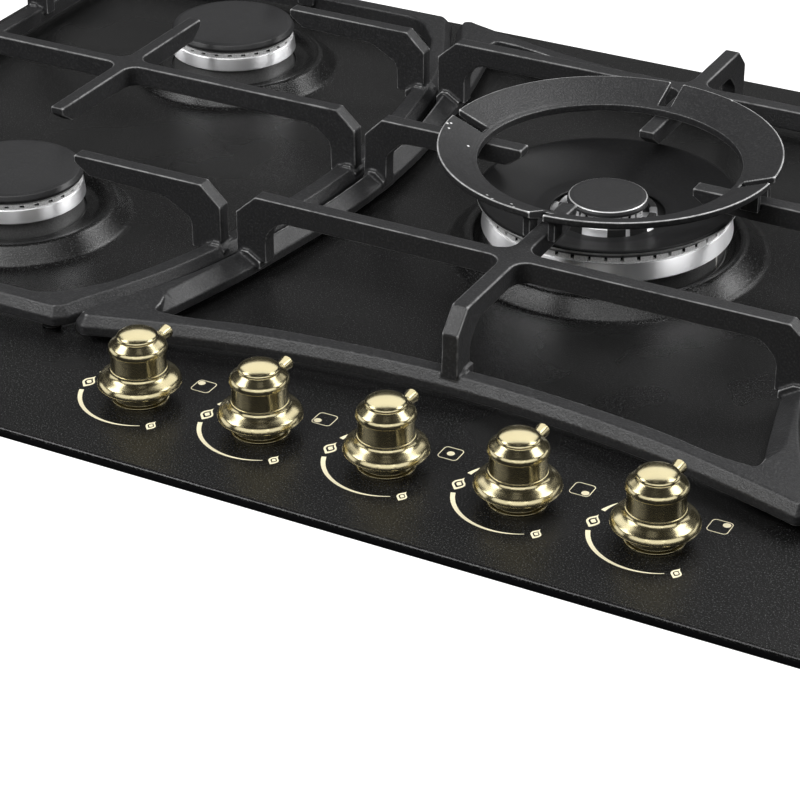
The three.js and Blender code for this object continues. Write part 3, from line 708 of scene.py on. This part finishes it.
for i, w in enumerate(ORDER):
    kx = (i - 2) * PITCH
    prof = KNOB + KNOB_IN
    ob = lathe(f'knob_turned_{w}', prof, M_BRASS, kx, KNOB_Y, H, 112, close=True, sharp=38)
    place(ob, f'knob_{w}_body', 'brass', f'knob_{w}')
    stud = fillet([(0, -1.0), (1.7, -1.0), (1.7, 4.9), (2.45, 5.5), (3.35, 10.9), (3.0, 11.5), (0, 11.5)], [0, 0, 0.4, 0.4, 0.35, 0.3, 0], 4)
    ob = lathe(f'knob_stud_{w}', stud, M_BRASS, kx, KNOB_Y + 12.9, H + 22, 40, axis='Y', sharp=40)
    place(ob, f'knob_{w}_body', 'brass', f'knob_pointer_{w}')
    ob = lathe(f'knob_bezel_turned_{w}', BEZEL, M_BEZEL, kx, KNOB_Y, H, 96, sharp=38)
    place(ob, 'hob', 'brass', f'knob_bezel_{w}')


# ------------------------------------------------------------------ burners
def port_thetas(n, frac, eps=0.004, phase=0.0, extra=2):
    """Angles for n ports round the ring, each port taking frac of its pitch."""
    th = []
    step = 2 * math.pi / n
    for k in range(n):
        a = phase + k * step
        b = a + step * frac
        th += [a - eps, a + eps]
        for q in range(1, extra):
            th.append(a + (b - a) * q / extra)
        th += [b - eps, b + eps]
        for q in range(1, extra + 1):
            th.append(b + (a + step - b) * q / (extra + 1))
    return th


def in_port(t, n, frac, phase=0.0):
    step = 2 * math.pi / n
    q = ((t - phase) / step) % 1.0
    return 0.0 < q < frac


def side_burner(w, x, y):
    # cup
    cup = fillet([(0, -43), (18, -43), (18, -28), (29, -20), (30, 1.2), (37.5, 1.2), (37.5, 3), (34.0, 3),
                  (33.2, 12.4), (27, 12.4), (26, -18), (0, -25)], 0.6, 3)
    place(lathe(f'burner_cup_cast_{w}', cup, M_CASTALU, x, y, H, 72), 'hob', 'cast_aluminium', f'burner_cup_{w}')
    # head: polished ring, then a blasted band with small square ports painted dark as shade
    base = fillet([(5, 12.4), (34.6, 12.4), (35.2, 12.9), (34.45, 19.5), (33.95, 19.85)], [0, 0.3, 0.3, 0.35, 0.1], 3)
    n0 = len(base)
    band = [(33.9, 19.95), (33.9, 20.55), (33.9, 20.62), (33.9, 21.95), (33.9, 22.02), (33.85, 22.5), (33.6, 22.6)]
    inner = [(26, 22.6), (25.4, 16), (5, 16)]
    prof = base + band + inner
    ports, frac = 28, 0.27
    lo, hi = n0 + 2, n0 + 3
    mids = [0] * (n0 - 1) + [1] * (len(prof) - n0 + 1)

    def rmod(t, i, r):
        return r - 1.6 if (lo <= i <= hi and in_port(t, ports, frac)) else r

    def matfn(t0, t1, i, mi):
        return 2 if lo <= i < hi and in_port((t0 + t1) / 2 if t1 > t0 else t0, ports, frac) else mi
    ob = lathe(f'burner_head_turned_{w}', prof, [M_POLISH, M_BLAST, M_PORT_SHADE], x, y, H, thetas=port_thetas(ports, frac), rmod=rmod, mids=mids, sharp=30, matfn=matfn)
    place(ob, f'burner_head_{w}_body', 'burner_aluminium', f'burner_head_{w}')
    cap = fillet([(0, 22.62), (32.2, 22.62), (33.4, 23.1), (34.6, 23.9), (34.6, 25.1), (33.4, 27.3), (31.0, 27.85), (16, 28.3), (0, 28.45)],
                 [0, 0.3, 0.3, 0.4, 0.5, 0.9, 2, 0, 0], 5)
    place(lathe(f'burner_cap_enamelled_{w}', cap, M_CAP, x, y, H, 112, sharp=50), f'burner_cap_{w}_body', 'cap_enamel', f'burner_cap_{w}')
    sx = -1 if x > 0 else 1
    el = fillet([(0, -12), (2.2, -12), (2.2, 18), (0.95, 18.8), (0.9, 21.2), (0, 21.4)], 0.3, 3)
    place(lathe(f'spark_electrode_{w}', el, M_CERAMIC, x + sx * 22, y + 22, H, 28), 'hob', 'electrode_ceramic', f'electrode_{w}')


for w, (x, y) in SIDES.items():
    side_burner(w, x, y)


def centre_burner():
    x, y = WOK
    cup = fillet([(0, -43), (24, -43), (24, -28), (54, -20), (55, -0.5), (62, -0.5), (62, 1.5), (59, 1.5),
                  (58.6, 12.9), (51, 12.9), (51, -15), (14, -25), (0, -25)], 0.6, 3)
    place(lathe('burner_cup_cast_centre', cup, M_CASTALU, x, y, H, 112), 'hob', 'cast_aluminium', 'burner_cup_centre')
    base = fillet([(6, 12.9), (62.0, 12.9), (62.6, 13.5), (61.55, 22.2), (60.7, 22.35)], [0, 0.3, 0.3, 0.3, 0.1], 3)
    n0 = len(base)
    band = [(60.7, 22.7), (61.0, 22.9), (61.0, 23.35), (61.0, 23.42), (61.0, 25.5), (61.0, 25.56), (60.9, 25.6)]
    inner = [(54, 25.6), (52, 17), (25.4, 17), (24.8, 17.6), (24.5, 21.6), (24.0, 22.0), (21.3, 22.0), (20.8, 21.4), (20.7, 19), (17.4, 19)]
    tower = [(17.3, 21.4), (17.3, 21.5), (17.3, 24.2), (17.3, 24.3), (17.0, 25.3), (6, 25.3)]
    prof = base + band + inner + tower
    lo, hi = n0 + 3, n0 + 4
    tl = len(base) + len(band) + len(inner)
    mids = [0] * (n0 - 1) + [1] * (len(prof) - n0 + 1)
    ports, frac = 48, 0.15

    def rmod(t, i, r):
        if lo <= i <= hi and in_port(t, ports, frac):
            return r - 1.8
        if tl + 1 <= i <= tl + 2 and in_port(t, 24, 0.3):
            return r - 1.4
        # the notch over the electrode, on the right side
        tt = math.atan2(math.sin(t), math.cos(t))
        if n0 <= i <= n0 + len(band) - 1 and abs(tt) < 0.058:
            return 55.0
        return r
    th = sorted(set(round(v % (2 * math.pi), 6) for v in port_thetas(ports, frac) + port_thetas(24, 0.3, extra=1)
                    + [0.056, 0.060, -0.056, -0.060]))

    trough = n0 + len(band)

    def matfn(t0, t1, i, mi):
        tm = (t0 + t1) / 2 if t1 > t0 else t0
        if lo <= i < hi and in_port(tm, ports, frac):
            return 2
        if tl + 1 <= i < tl + 2 and in_port(tm, 24, 0.3):
            return 2
        # painted shade: the trough between band and tower takes the dark port shade material, except in the listed
        # sectors, which keep the polished metal
        if trough <= i < tl - 1:
            deg = math.degrees(tm) % 360
            lit = any(a0 <= deg <= a1 for a0, a1 in ((12, 30), (75, 88), (128, 150), (172, 192), (216, 240), (264, 294), (315, 321), (346, 357)))
            return 0 if lit else 2
        return mi
    ob = lathe('burner_head_turned_centre', prof, [M_POLISH, M_BLAST, M_PORT_SHADE], x, y, H, thetas=th, rmod=rmod, mids=mids, sharp=30, matfn=matfn)
    place(ob, 'hob', 'burner_aluminium', 'burner_head_centre')
    crown = fillet([(61.35, 25.62), (65.0, 28.7), (65.15, 29.5), (64.2, 30.25), (62.9, 30.2), (57.5, 28.2), (46, 23.5), (36, 20.9),
                    (30.5, 20.3), (28.7, 20.0), (28.6, 18.9), (38, 19.3), (54, 25.62)],
                   [0.3, 0.8, 0.6, 0.8, 1.2, 14, 30, 20, 3, 0.6, 0.4, 4, 0.3], 6, close=True)
    th = [2 * math.pi * k / 144 for k in range(144)]
    worn = [1 if r > 64.2 and z < 29.55 else 0 for r, z in crown]
    place(lathe('burner_crown_enamelled', crown, [M_CROWN, M_WORN], x, y, H, thetas=th, sharp=45, mids=worn), 'burner_crown_centre_body', 'cap_enamel', 'burner_crown_centre')
    cap = fillet([(0, 25.32), (18.9, 25.32), (20.25, 26.3), (20.25, 27.3), (19.4, 28.9), (17.0, 29.3), (0, 29.5)],
                 [0, 0.3, 0.4, 0.5, 0.8, 2, 0], 5)
    worn = [1 if r > 18.6 and 28.0 < z < 28.95 else 0 for r, z in cap]
    place(lathe('burner_cap_enamelled_centre', cap, [M_CAP, M_WORN], x, y, H, 96, sharp=50, mids=worn), 'burner_cap_centre_body', 'cap_enamel', 'burner_cap_centre')
    el = fillet([(0, -12), (2.2, -12), (2.2, 19), (0.95, 20.0), (0.9, 24.0), (0, 24.2)], 0.3, 3)
    place(lathe('spark_electrode_centre', el, M_CERAMIC, x + 56.8, y, H, 28), 'hob', 'electrode_ceramic', 'electrode_centre')


centre_burner()


# ------------------------------------------------------------------ pan supports
TOP, UNDER, MID, SGX, F_Y, R_Y = 49.5, 37.5, 258.0, 311.0, 139.0, 377.0
BAR_LOW, BAR_EDGE, BAR_TOP = 5.0, 10.0, 15.5
T_SIDE, T_MID = 8.4 * GU, 9.2 * GU


def mirror_y(pts):
    return [(x, 2 * MID - y) for x, y in pts][::-1]


def to_mm(pts):
    return [(x * GU, gy(y)) for x, y in pts]


def bl(pts):
    return [(a * GU, gz(z)) for a, z in pts]


def bly(pts):
    return [(gy(y), gz(z)) for y, z in pts]


def round_prof(pts, radii, n=5):
    return fillet(pts, radii, n, close=True)


def cast(bundle, name, body, node, voxel=0.6, mat=None):
    ob = bundle.build(name, mat or M_IRON)
    rm = ob.modifiers.new('cast', 'REMESH')
    rm.mode = 'VOXEL'
    rm.voxel_size = voxel * MM
    rm.use_smooth_shade = True
    sm = ob.modifiers.new('soften', 'SMOOTH')
    sm.factor = 0.5
    sm.iterations = 1
    place(ob, body, 'cast_iron', node)
    return ob


def frame_ring(b, outer, inner, slope=None):
    o, i = to_mm(outer), to_mm(inner)
    if slope:
        # the inner face of the side rails leans outward to the top
        crest = []
        for x, y in inner:
            d = min(abs(y - 62), abs(2 * MID - y - 62))
            k = min(1.0, max(0.0, (d + 1) / 20.0))
            k = k * k * (3 - 2 * k) if abs(x) > 130 else 0.0
            crest.append((x + math.copysign(slope * k, x), y))
        c = to_mm(crest)
        b.loft_ring([(inset(o, 0.5), gz(BAR_LOW)), (o, gz(BAR_LOW) + 0.5), (o, gz(BAR_EDGE)), (inset(o, 4 * GU), gz(BAR_TOP))],
                    [(i, gz(BAR_LOW)), (i, gz(BAR_TOP - 5.6)), (c, gz(BAR_TOP))])
        return
    b.loft_ring([(inset(o, 0.5), gz(BAR_LOW)), (o, gz(BAR_LOW) + 0.5), (o, gz(BAR_EDGE)), (inset(o, 4 * GU), gz(BAR_TOP))],
                [(i, gz(BAR_LOW)), (i, gz(BAR_TOP) - 0.9), (inset(i, -0.9), gz(BAR_TOP))])


def feet(b, pts):
    for x, y in pts:
        b.prism([(x * GU + 4.6 * math.cos(2 * math.pi * k / 24), gy(y) + 4.6 * math.sin(2 * math.pi * k / 24)) for k in range(24)], H + 0.02, gz(BAR_LOW) + 1.5)


def cross_fillets(b, cx, cy, w1, w2, r, z0, z1, quads=((1, 1), (-1, 1), (1, -1), (-1, -1))):
    """Concave corner fills where an X bar (width w2 in y) meets a Y bar (width w1 in x)."""
    for sx, sy in quads:
        ax, ay = cx + sx * w1 / 2, cy + sy * w2 / 2
        pts = [(ax - sx * 1.0, ay - sy * 1.0), (ax + sx * r, ay - sy * 1.0), (ax + sx * r, ay)]
        for k in range(1, 8):
            t = math.pi / 2 * k / 8
            pts.append((ax + sx * (r - r * math.sin(t)), ay + sy * (r - r * math.cos(t))))
        pts += [(ax, ay + sy * r), (ax - sx * 1.0, ay + sy * r)]
        if sx * sy < 0:
            pts = pts[::-1]
        b.prism(pts, z0, z1)


def pad_x(b, xi, xo, y0, t):
    """Raised pad under a leg on a side bar; xo is the outer side."""
    s = 1 if xo > xi else -1
    prof = [(xi + s * 0.4, 8), (xo - s * 0.2, 8), (xo - s * 0.2, 13.2), (xo - s * 4.0, 17.2), (xo - s * 8.0, 17.2), (xi + s * 0.4, 12.4)]
    if s < 0:
        prof = prof[::-1]
    b.blade_x(bl(prof), y0, t + 4.4 * GU)


def pad_y(b, yi, yo, x0, t):
    s = 1 if yo > yi else -1
    prof = [(yi - s * 1.0, 10), (yo - s * 0.2, 10), (yo - s * 0.2, 12.4), (yo - s * 7.5, 17.4), (yi - s * 1.0, 17.4)]
    if s < 0:
        prof = prof[::-1]
    b.blade_y(bly(prof), x0, t + 3.4 * GU)


def centre_grate():
    b = Bundle()
    side = catmull([(-150, 258), (-151, 232), (-153, 205), (-158, 172), (-165, 136), (-174.5, 103), (-186, 76), (-196, 56), (-201.5, 44)], 4)
    corner = fillet([(-201.5, 44), (-203.5, 36), (-196, 31), (-190, 33.2)], [0, 5, 4, 0], 4)[1:-1]
    front = catmull([(-190, 33.2), (-165, 40.5), (-134, 48.5), (-100, 55), (-64, 60), (-30, 63), (0, 64)], 4)
    half = side[:-1] + corner + front
    low = half[:-1] + [(-x, y) for x, y in half][::-1]
    outer = low + mirror_y(low)[1:-1]
    s_in = catmull([(-137, 258), (-138, 232), (-140, 205), (-145.5, 168), (-152, 127), (-159.5, 94), (-164.5, 74)], 4)
    c_in = fillet([(-164.5, 74), (-169.5, 56.0), (-150, 57.2)], [0, 8, 0], 6)[1:-1]
    f_in = catmull([(-150, 57.2), (-135, 60.5), (-122, 64), (-97, 68.5), (-58, 73), (-28, 75), (0, 75.5)], 4)
    hin = s_in + c_in + f_in
    lin = hin[:-1] + [(-x, y) for x, y in hin][::-1]
    inner = lin + mirror_y(lin)[1:-1]
    frame_ring(b, outer, inner, 9.0)

    bar = [(-163.8, 11), (-163.8, 38.5), (-151.5, TOP), (151.5, TOP), (163.8, 38.5), (163.8, 11), (145.6, 11), (145.6, 28),
           (137, UNDER), (-137, UNDER), (-145.6, 28), (-145.6, 11)]
    bar = bar[::-1]
    rad = [0, 11, 11, 11, 11, 0, 0, 1.5, 1.5, 1.5, 1.5, 0]
    prof = [(x, z) for x, z in round_prof(bar, rad)]
    for y in (139.5, 2 * MID - 139.5):
        b.blade_x(bl(prof), gy(y), T_MID)
        for s in (-1, 1):
            pad_x(b, s * 148, s * 164, gy(y), T_MID)
    tip = 51
    yf = [(66, 9), (80.5, 9), (81, 28), (90, UNDER), (MID - tip - 9, 38.6), (MID - tip, 45), (MID - tip, TOP), (77.8, TOP), (66.6, 38)]
    rad = [0, 0, 8, 9, 3, 0.8, 0.6, 1.2, 1.5]
    pf = round_prof(yf, rad)
    b.blade_y(bly(pf), 0, T_MID)
    b.blade_y(bly([(2 * MID - y, z) for y, z in pf][::-1]), 0, T_MID)
    pad_y(b, 80, 65.5, 0, T_MID)
    pad_y(b, 2 * MID - 80, 2 * MID - 65.5, 0, T_MID)
    xf = [(-150.3, 9), (-136, 9), (-135.4, 28), (-126, UNDER), (-tip - 9, 38.6), (-tip, 45), (-tip, TOP), (-138.5, TOP), (-149.6, 38.5)]
    pf = round_prof(xf, rad)
    b.blade_x(bl(pf), gy(MID), T_MID)
    b.blade_x(bl([(-x, z) for x, z in pf][::-1]), gy(MID), T_MID)
    for s in (-1, 1):
        pad_x(b, s * 136, s * 150, gy(MID), T_MID)
    for y in (139.5, 2 * MID - 139.5):
        cross_fillets(b, 0, gy(y), T_MID, T_MID, 8.5 * GU, gz(UNDER), gz(TOP))
    feet(b, [(-182, 48), (182, 48), (-182, 468), (182, 468)])
    cast(b, 'grate_centre_cast', 'grate_centre_body', 'grate_centre')


def side_grate(s):
    b = Bundle()

    def F(pts):
        return pts if s < 0 else [(-x, y) for x, y in pts][::-1]
    right = catmull([(-201, 53.5), (-192, 71), (-179.5, 101), (-169.3, 135), (-162, 170), (-156.8, 209), (-154.6, 235), (-154, 258)], 4)
    corner = fillet([(-456, 32), (-214.5, 32), (-208.5, 36.5), (-201, 53.5)], [0, 3, 3, 0], 3)[1:-1]
    left = fillet([(-466, 258), (-466, 42), (-456, 32), (-400, 32)], [0, 4, 4, 0], 4)[:-1]
    half = left + corner + right
    outer = F(half + mirror_y(half)[1:-1])
    r_in = catmull([(-205, 72.5), (-194.5, 98), (-184, 130), (-176.5, 166), (-171, 206), (-168.6, 235), (-168, 258)], 4)
    c_in = fillet([(-256, 45), (-226, 45.6), (-205, 72.5)], [0, 26, 0], 8)[1:-1]
    l_in = fillet([(-453, 258), (-453, 53), (-445, 45), (-256, 45)], [0, 5, 5, 0], 4)[:-1]
    half = l_in + [(-256, 45)] + c_in + r_in
    inner = F(half + mirror_y(half)[1:-1])
    frame_ring(b, outer, inner)

    def BX(pts, rad, y, t=T_SIDE):
        p = round_prof(pts, rad)
        if s > 0:
            p = [(-x, z) for x, z in p][::-1]
        b.blade_x(bl(p), gy(y), t)
    t = 44
    for row in (F_Y, R_Y):
        BX([(-192, 11), (-173.6, 11), (-173.6, 38.0), (-185.6, TOP), (-SGX + t, TOP), (-SGX + t, 45.2), (-SGX + t + 9, 38.6), (-210, UNDER), (-192, 28)],
           [0, 0, 1.5, 1.2, 0.6, 0.8, 3, 10, 8], row)
        BX([(-465.6, 11), (-450, 11), (-449.5, 28), (-436, UNDER), (-SGX - t - 9, 38.6), (-SGX - t, 45.2), (-SGX - t, TOP), (-453, TOP), (-465.4, 38.5)],
           [0, 0, 8, 10, 3, 0.8, 0.6, 1.2, 1.5], row)
        q = 1 if s < 0 else -1
        pad_x(b, q * -186, q * -170.5, gy(row), T_SIDE)
        pad_x(b, q * -452, q * -466, gy(row), T_SIDE)
    BX([(-465.6, 11), (-450, 11), (-449.5, 28), (-438, UNDER), (-184, UNDER), (-172.5, 28), (-172, 11), (-156, 11), (-156.2, 38.5), (-168.2, TOP), (-453, TOP), (-465.4, 38.5)],
       [0, 0, 8, 9, 9, 8, 0, 0, 1.5, 1.2, 1.2, 1.5], MID)
    q = 1 if s < 0 else -1
    pad_x(b, q * -170, q * -154.5, gy(MID), T_SIDE)
    pad_x(b, q * -452, q * -466, gy(MID), T_SIDE)
    X0 = s * SGX * GU
    pf = round_prof([(F_Y + t, 45.2), (F_Y + t + 9, 38.6), (MID - 20, UNDER), (MID + 20, UNDER), (R_Y - t - 9, 38.6), (R_Y - t, 45.2), (R_Y - t, TOP), (F_Y + t, TOP)],
                    [0.8, 3, 0, 0, 3, 0.8, 0.6, 0.6])
    b.blade_y(bly(pf), X0, T_SIDE)
    cross_fillets(b, X0, gy(MID), T_SIDE, T_SIDE, 8 * GU, gz(UNDER), gz(TOP))
    yf = [(34, 9), (48, 9), (48.5, 28), (60, UNDER), (F_Y - t - 9, 38.6), (F_Y - t, 45.2), (F_Y - t, TOP), (46, TOP), (34.5, 38.5)]
    pf = round_prof(yf, [0, 0, 8, 9, 3, 0.8, 0.6, 1.2, 1.5])
    b.blade_y(bly(pf), X0, T_SIDE)
    b.blade_y(bly([(2 * MID - y, z) for y, z in pf][::-1]), X0, T_SIDE)
    pad_y(b, 47, 33, X0, T_SIDE)
    pad_y(b, 2 * MID - 47, 2 * MID - 33, X0, T_SIDE)
    pts = [(-457, 42), (-222, 42), (-457, 474), (-222, 474)]
    feet(b, pts if s < 0 else [(-x, y) for x, y in pts])
    side = 'left' if s < 0 else 'right'
    cast(b, f'grate_{side}_cast', f'grate_{side}_body', f'grate_{side}')


centre_grate()
side_grate(-1)
side_grate(1)


def wok_ring():
    """Shallow cone with four open slots over the fingers and a pair of prongs beside each."""
    b = Bundle()
    lift = 0.02
    cone = [(75.0, 49.6), (93.1, 57.85), (94.1, 58.5), (94.1, 62.33), (75.0, 54.95)]
    cone = fillet([(r * GU, gz(z) + lift) for r, z in cone], [0, 0.4, 0.5, 0.35, 0], 3, close=True)
    m, n, half = len(cone), 40, 3.4
    for q in range(4):
        vs, fs = [], []
        for k in range(n + 1):
            for r, z in cone:
                e = math.asin(half / r)
                t = math.pi / 2 * q + e + (math.pi / 2 - 2 * e) * k / n
                vs.append((WOK[0] + r * math.cos(t), WOK[1] + r * math.sin(t), z))
        for k in range(n):
            for i in range(m):
                j = (i + 1) % m
                fs.append((k * m + i, k * m + j, (k + 1) * m + j, (k + 1) * m + i))
        fs.append(tuple(range(m - 1, -1, -1)))
        fs.append(tuple(n * m + i for i in range(m)))
        b.add(vs, fs)
    neck = fillet([(r * GU, gz(z) + lift) for r, z in ((72.2, 49.5), (75.2, 49.5), (76.4, 50.2), (76.4, 54.4), (75.4, 54.9), (72.2, 53.75))], [0.4, 0, 0, 0, 0, 0.3], 3, close=True)
    m, seg = len(neck), 176
    vs = [(WOK[0] + r * math.cos(2 * math.pi * k / seg), WOK[1] + r * math.sin(2 * math.pi * k / seg), z) for k in range(seg) for r, z in neck]
    fs = [(k * m + i, k * m + (i + 1) % m, ((k + 1) % seg) * m + (i + 1) % m, ((k + 1) % seg) * m + i) for k in range(seg) for i in range(m)]
    b.add(vs, fs)
    for q in range(4):
        ca, sa = round(math.cos(math.pi / 2 * q)), round(math.sin(math.pi / 2 * q))
        for sg in (-1, 1):
            c0, c1 = T_MID / 2 + 0.45, T_MID / 2 + 4.2
            side = [(r * GU, gz(z)) for r, z in ((80, 45.55), (90, 45.55), (90, 57.6), (80, 54.2))]
            v, f = prism_data(side, -(c1 - c0) / 2, (c1 - c0) / 2)
            t0 = sg * (c0 + c1) / 2
            v = [(r, t0 - w, z) for r, z, w in v]
            v = [(WOK[0] + x * ca - y * sa, WOK[1] + x * sa + y * ca, z) for x, y, z in v]
            b.add(v, f)
    cast(b, 'wok_ring_cast', 'wok_ring_body', 'wok_ring', 0.5, mat=M_RING)


wok_ring()

# ------------------------------------------------------------------ parts that keep their CAD shape
KEEP = {'base_tray': M_ZINC, 'worktop_seal': M_SEAL, 'gas_rail': M_STEEL, 'ignition_module': M_PLASTIC}
for w in ORDER:
    KEEP[f'spindle_{w}'] = M_STEEL
    KEEP[f'gas_valve_{w}'] = M_VALVE
for p in ('front_left', 'rear_left', 'front_right', 'rear_right', 'centre'):
    KEEP[f'gas_pipe_{p}'] = M_CASTALU
for node, mt in KEEP.items():
    ob = frame['nodes'][node]
    ob.data.materials.clear()
    ob.data.materials.append(mt)


# ------------------------------------------------------------------ stage and light
def stage():
    wt = H - LIP - 0.1
    outer = [(-6500, -6500), (6500, -6500), (6500, 6500), (-6500, 6500)]
    inner = round_rect(844, 484, 9, 6)
    b = Bundle()
    b.loft_ring([(outer, wt - 38), (outer, wt)], [(inner, wt - 38), (inner, wt)])
    m, nt, bs, nodes, links = new_mat('worktop_pale')
    bs.inputs['Base Color'].default_value = (0.35, 0.35, 0.35, 1.0)
    bs.inputs['Roughness'].default_value = 0.9
    bs.inputs['Specular IOR Level'].default_value = 0.1
    bs.inputs['Emission Color'].default_value = (1.0, 1.0, 1.0, 1.0)
    bs.inputs['Emission Strength'].default_value = 0.93
    ob = b.build('worktop', m)
    ob.visible_glossy = False
    ob.visible_diffuse = False


stage()


def area(name, loc, target, sx, sy, power, color=(1, 1, 1)):
    d = bpy.data.lights.new(name, 'AREA')
    d.shape = 'RECTANGLE'
    d.size, d.size_y = sx, sy
    d.energy = power
    d.color = color
    o = bpy.data.objects.new(name, d)
    bpy.context.scene.collection.objects.link(o)
    v = Vector(target) - Vector(loc)
    o.matrix_world = Matrix.Translation(Vector(loc)) @ v.to_track_quat('-Z', 'Y').to_matrix().to_4x4()
    return o


area('top_soft', (0.25, -0.65, 1.8), (0, -0.05, 0.05), 1.7, 1.0, 13)
area('left_soft', (-1.2, -0.75, 1.05), (0, -0.15, 0.08), 0.75, 0.75, 6)
area('right_soft', (1.26, 0.85, 0.8), (-0.1, -0.1, 0.06), 0.8, 0.7, 14)
area('slope_soft', (0.46, 0.94, 1.35), (-0.14, -0.1, 0.06), 0.8, 0.7, 13)
area('bevel_soft', (-0.75, -1.15, 1.45), (0, -0.1, 0.06), 1.1, 1.0, 19)
area('front_soft', (1.05, -2.15, 0.55), (0, -0.1, 0.1), 2.4, 1.3, 1.2)
area('rear_soft', (-1.5, 3.0, 2.0), (0, 0, 0.1), 5.0, 2.4, 8)

# the turned brass is lit by its own softboxes, all other parts by the ones above
BRASS = bpy.data.collections.new('brass_parts')
REST = bpy.data.collections.new('other_parts')
HEADS = bpy.data.collections.new('burner_heads')
for ob in bpy.context.scene.objects:
    if ob.type == 'MESH':
        (BRASS if ob.name.startswith('knob_') else REST).objects.link(ob)
        if ob.name.startswith('burner_head_'):
            HEADS.objects.link(ob)
for ob in bpy.context.scene.objects:
    if ob.type == 'LIGHT' or ob.name.startswith('worktop') and ob.name != 'worktop_seal':
        ob.light_linking.receiver_collection = REST
K = (0.0, KNOB_Y * MM, 0.075)


def knob_light(name, az, el, dist, sx, sy, radiance, target=None, group=None):
    """az is measured from the camera's side, to the right."""
    a, e = math.radians(az), math.radians(el)
    toward, right = Vector((math.sin(YAW), -math.cos(YAW), 0)), Vector((math.cos(YAW), math.sin(YAW), 0))
    v = (toward * math.cos(a) + right * math.sin(a)) * math.cos(e) + Vector((0, 0, 1)) * math.sin(e)
    c = Vector(target or K)
    ob = area(name, c + v * dist, c, sx, sy, radiance * math.pi * sx * sy)
    ob.light_linking.receiver_collection = group or BRASS


knob_light('brass_left', -100, 46, 1.5, 0.6, 0.6, 3.3)
knob_light('brass_right', 100, 46, 1.5, 0.6, 0.6, 3.3)
knob_light('brass_low_left', -104, 9, 1.6, 1.2, 0.8, 1.1)
knob_light('brass_low_right', 104, 9, 1.6, 1.2, 0.8, 1.1)
knob_light('brass_top', 180, 52, 1.6, 2.3, 1.5, 1.35)
knob_light('brass_front', 0, 30, 2.2, 1.6, 1.75, 1.25)
knob_light('brass_front_left', -45, 27, 2.2, 1.7, 1.5, 1.15)
knob_light('brass_front_right', 45, 27, 2.2, 1.7, 1.5, 1.15)
knob_light('brass_blob', 0, 84, 1.6, 0.34, 0.12, 0.5)
C = (0.0, 0.0, 0.07)
knob_light('head_left', -118, 18, 1.6, 0.55, 0.9, 4.0, C, HEADS)
knob_light('head_right', 62, 18, 1.6, 0.9, 0.9, 4.0, C, HEADS)
knob_light('head_rear', 126, 18, 1.6, 0.5, 0.9, 4.0, C, HEADS)
knob_light('head_front', -8, 14, 1.9, 0.5, 0.8, 1.2, C, HEADS)

world = bpy.data.worlds.new('studio')
world.use_nodes = True
bg = world.node_tree.nodes['Background']
bg.inputs['Color'].default_value = (1, 1, 1, 1)
bg.inputs['Strength'].default_value = 0.015
bpy.context.scene.world = world
bpy.context.scene.view_settings.view_transform = 'Standard'
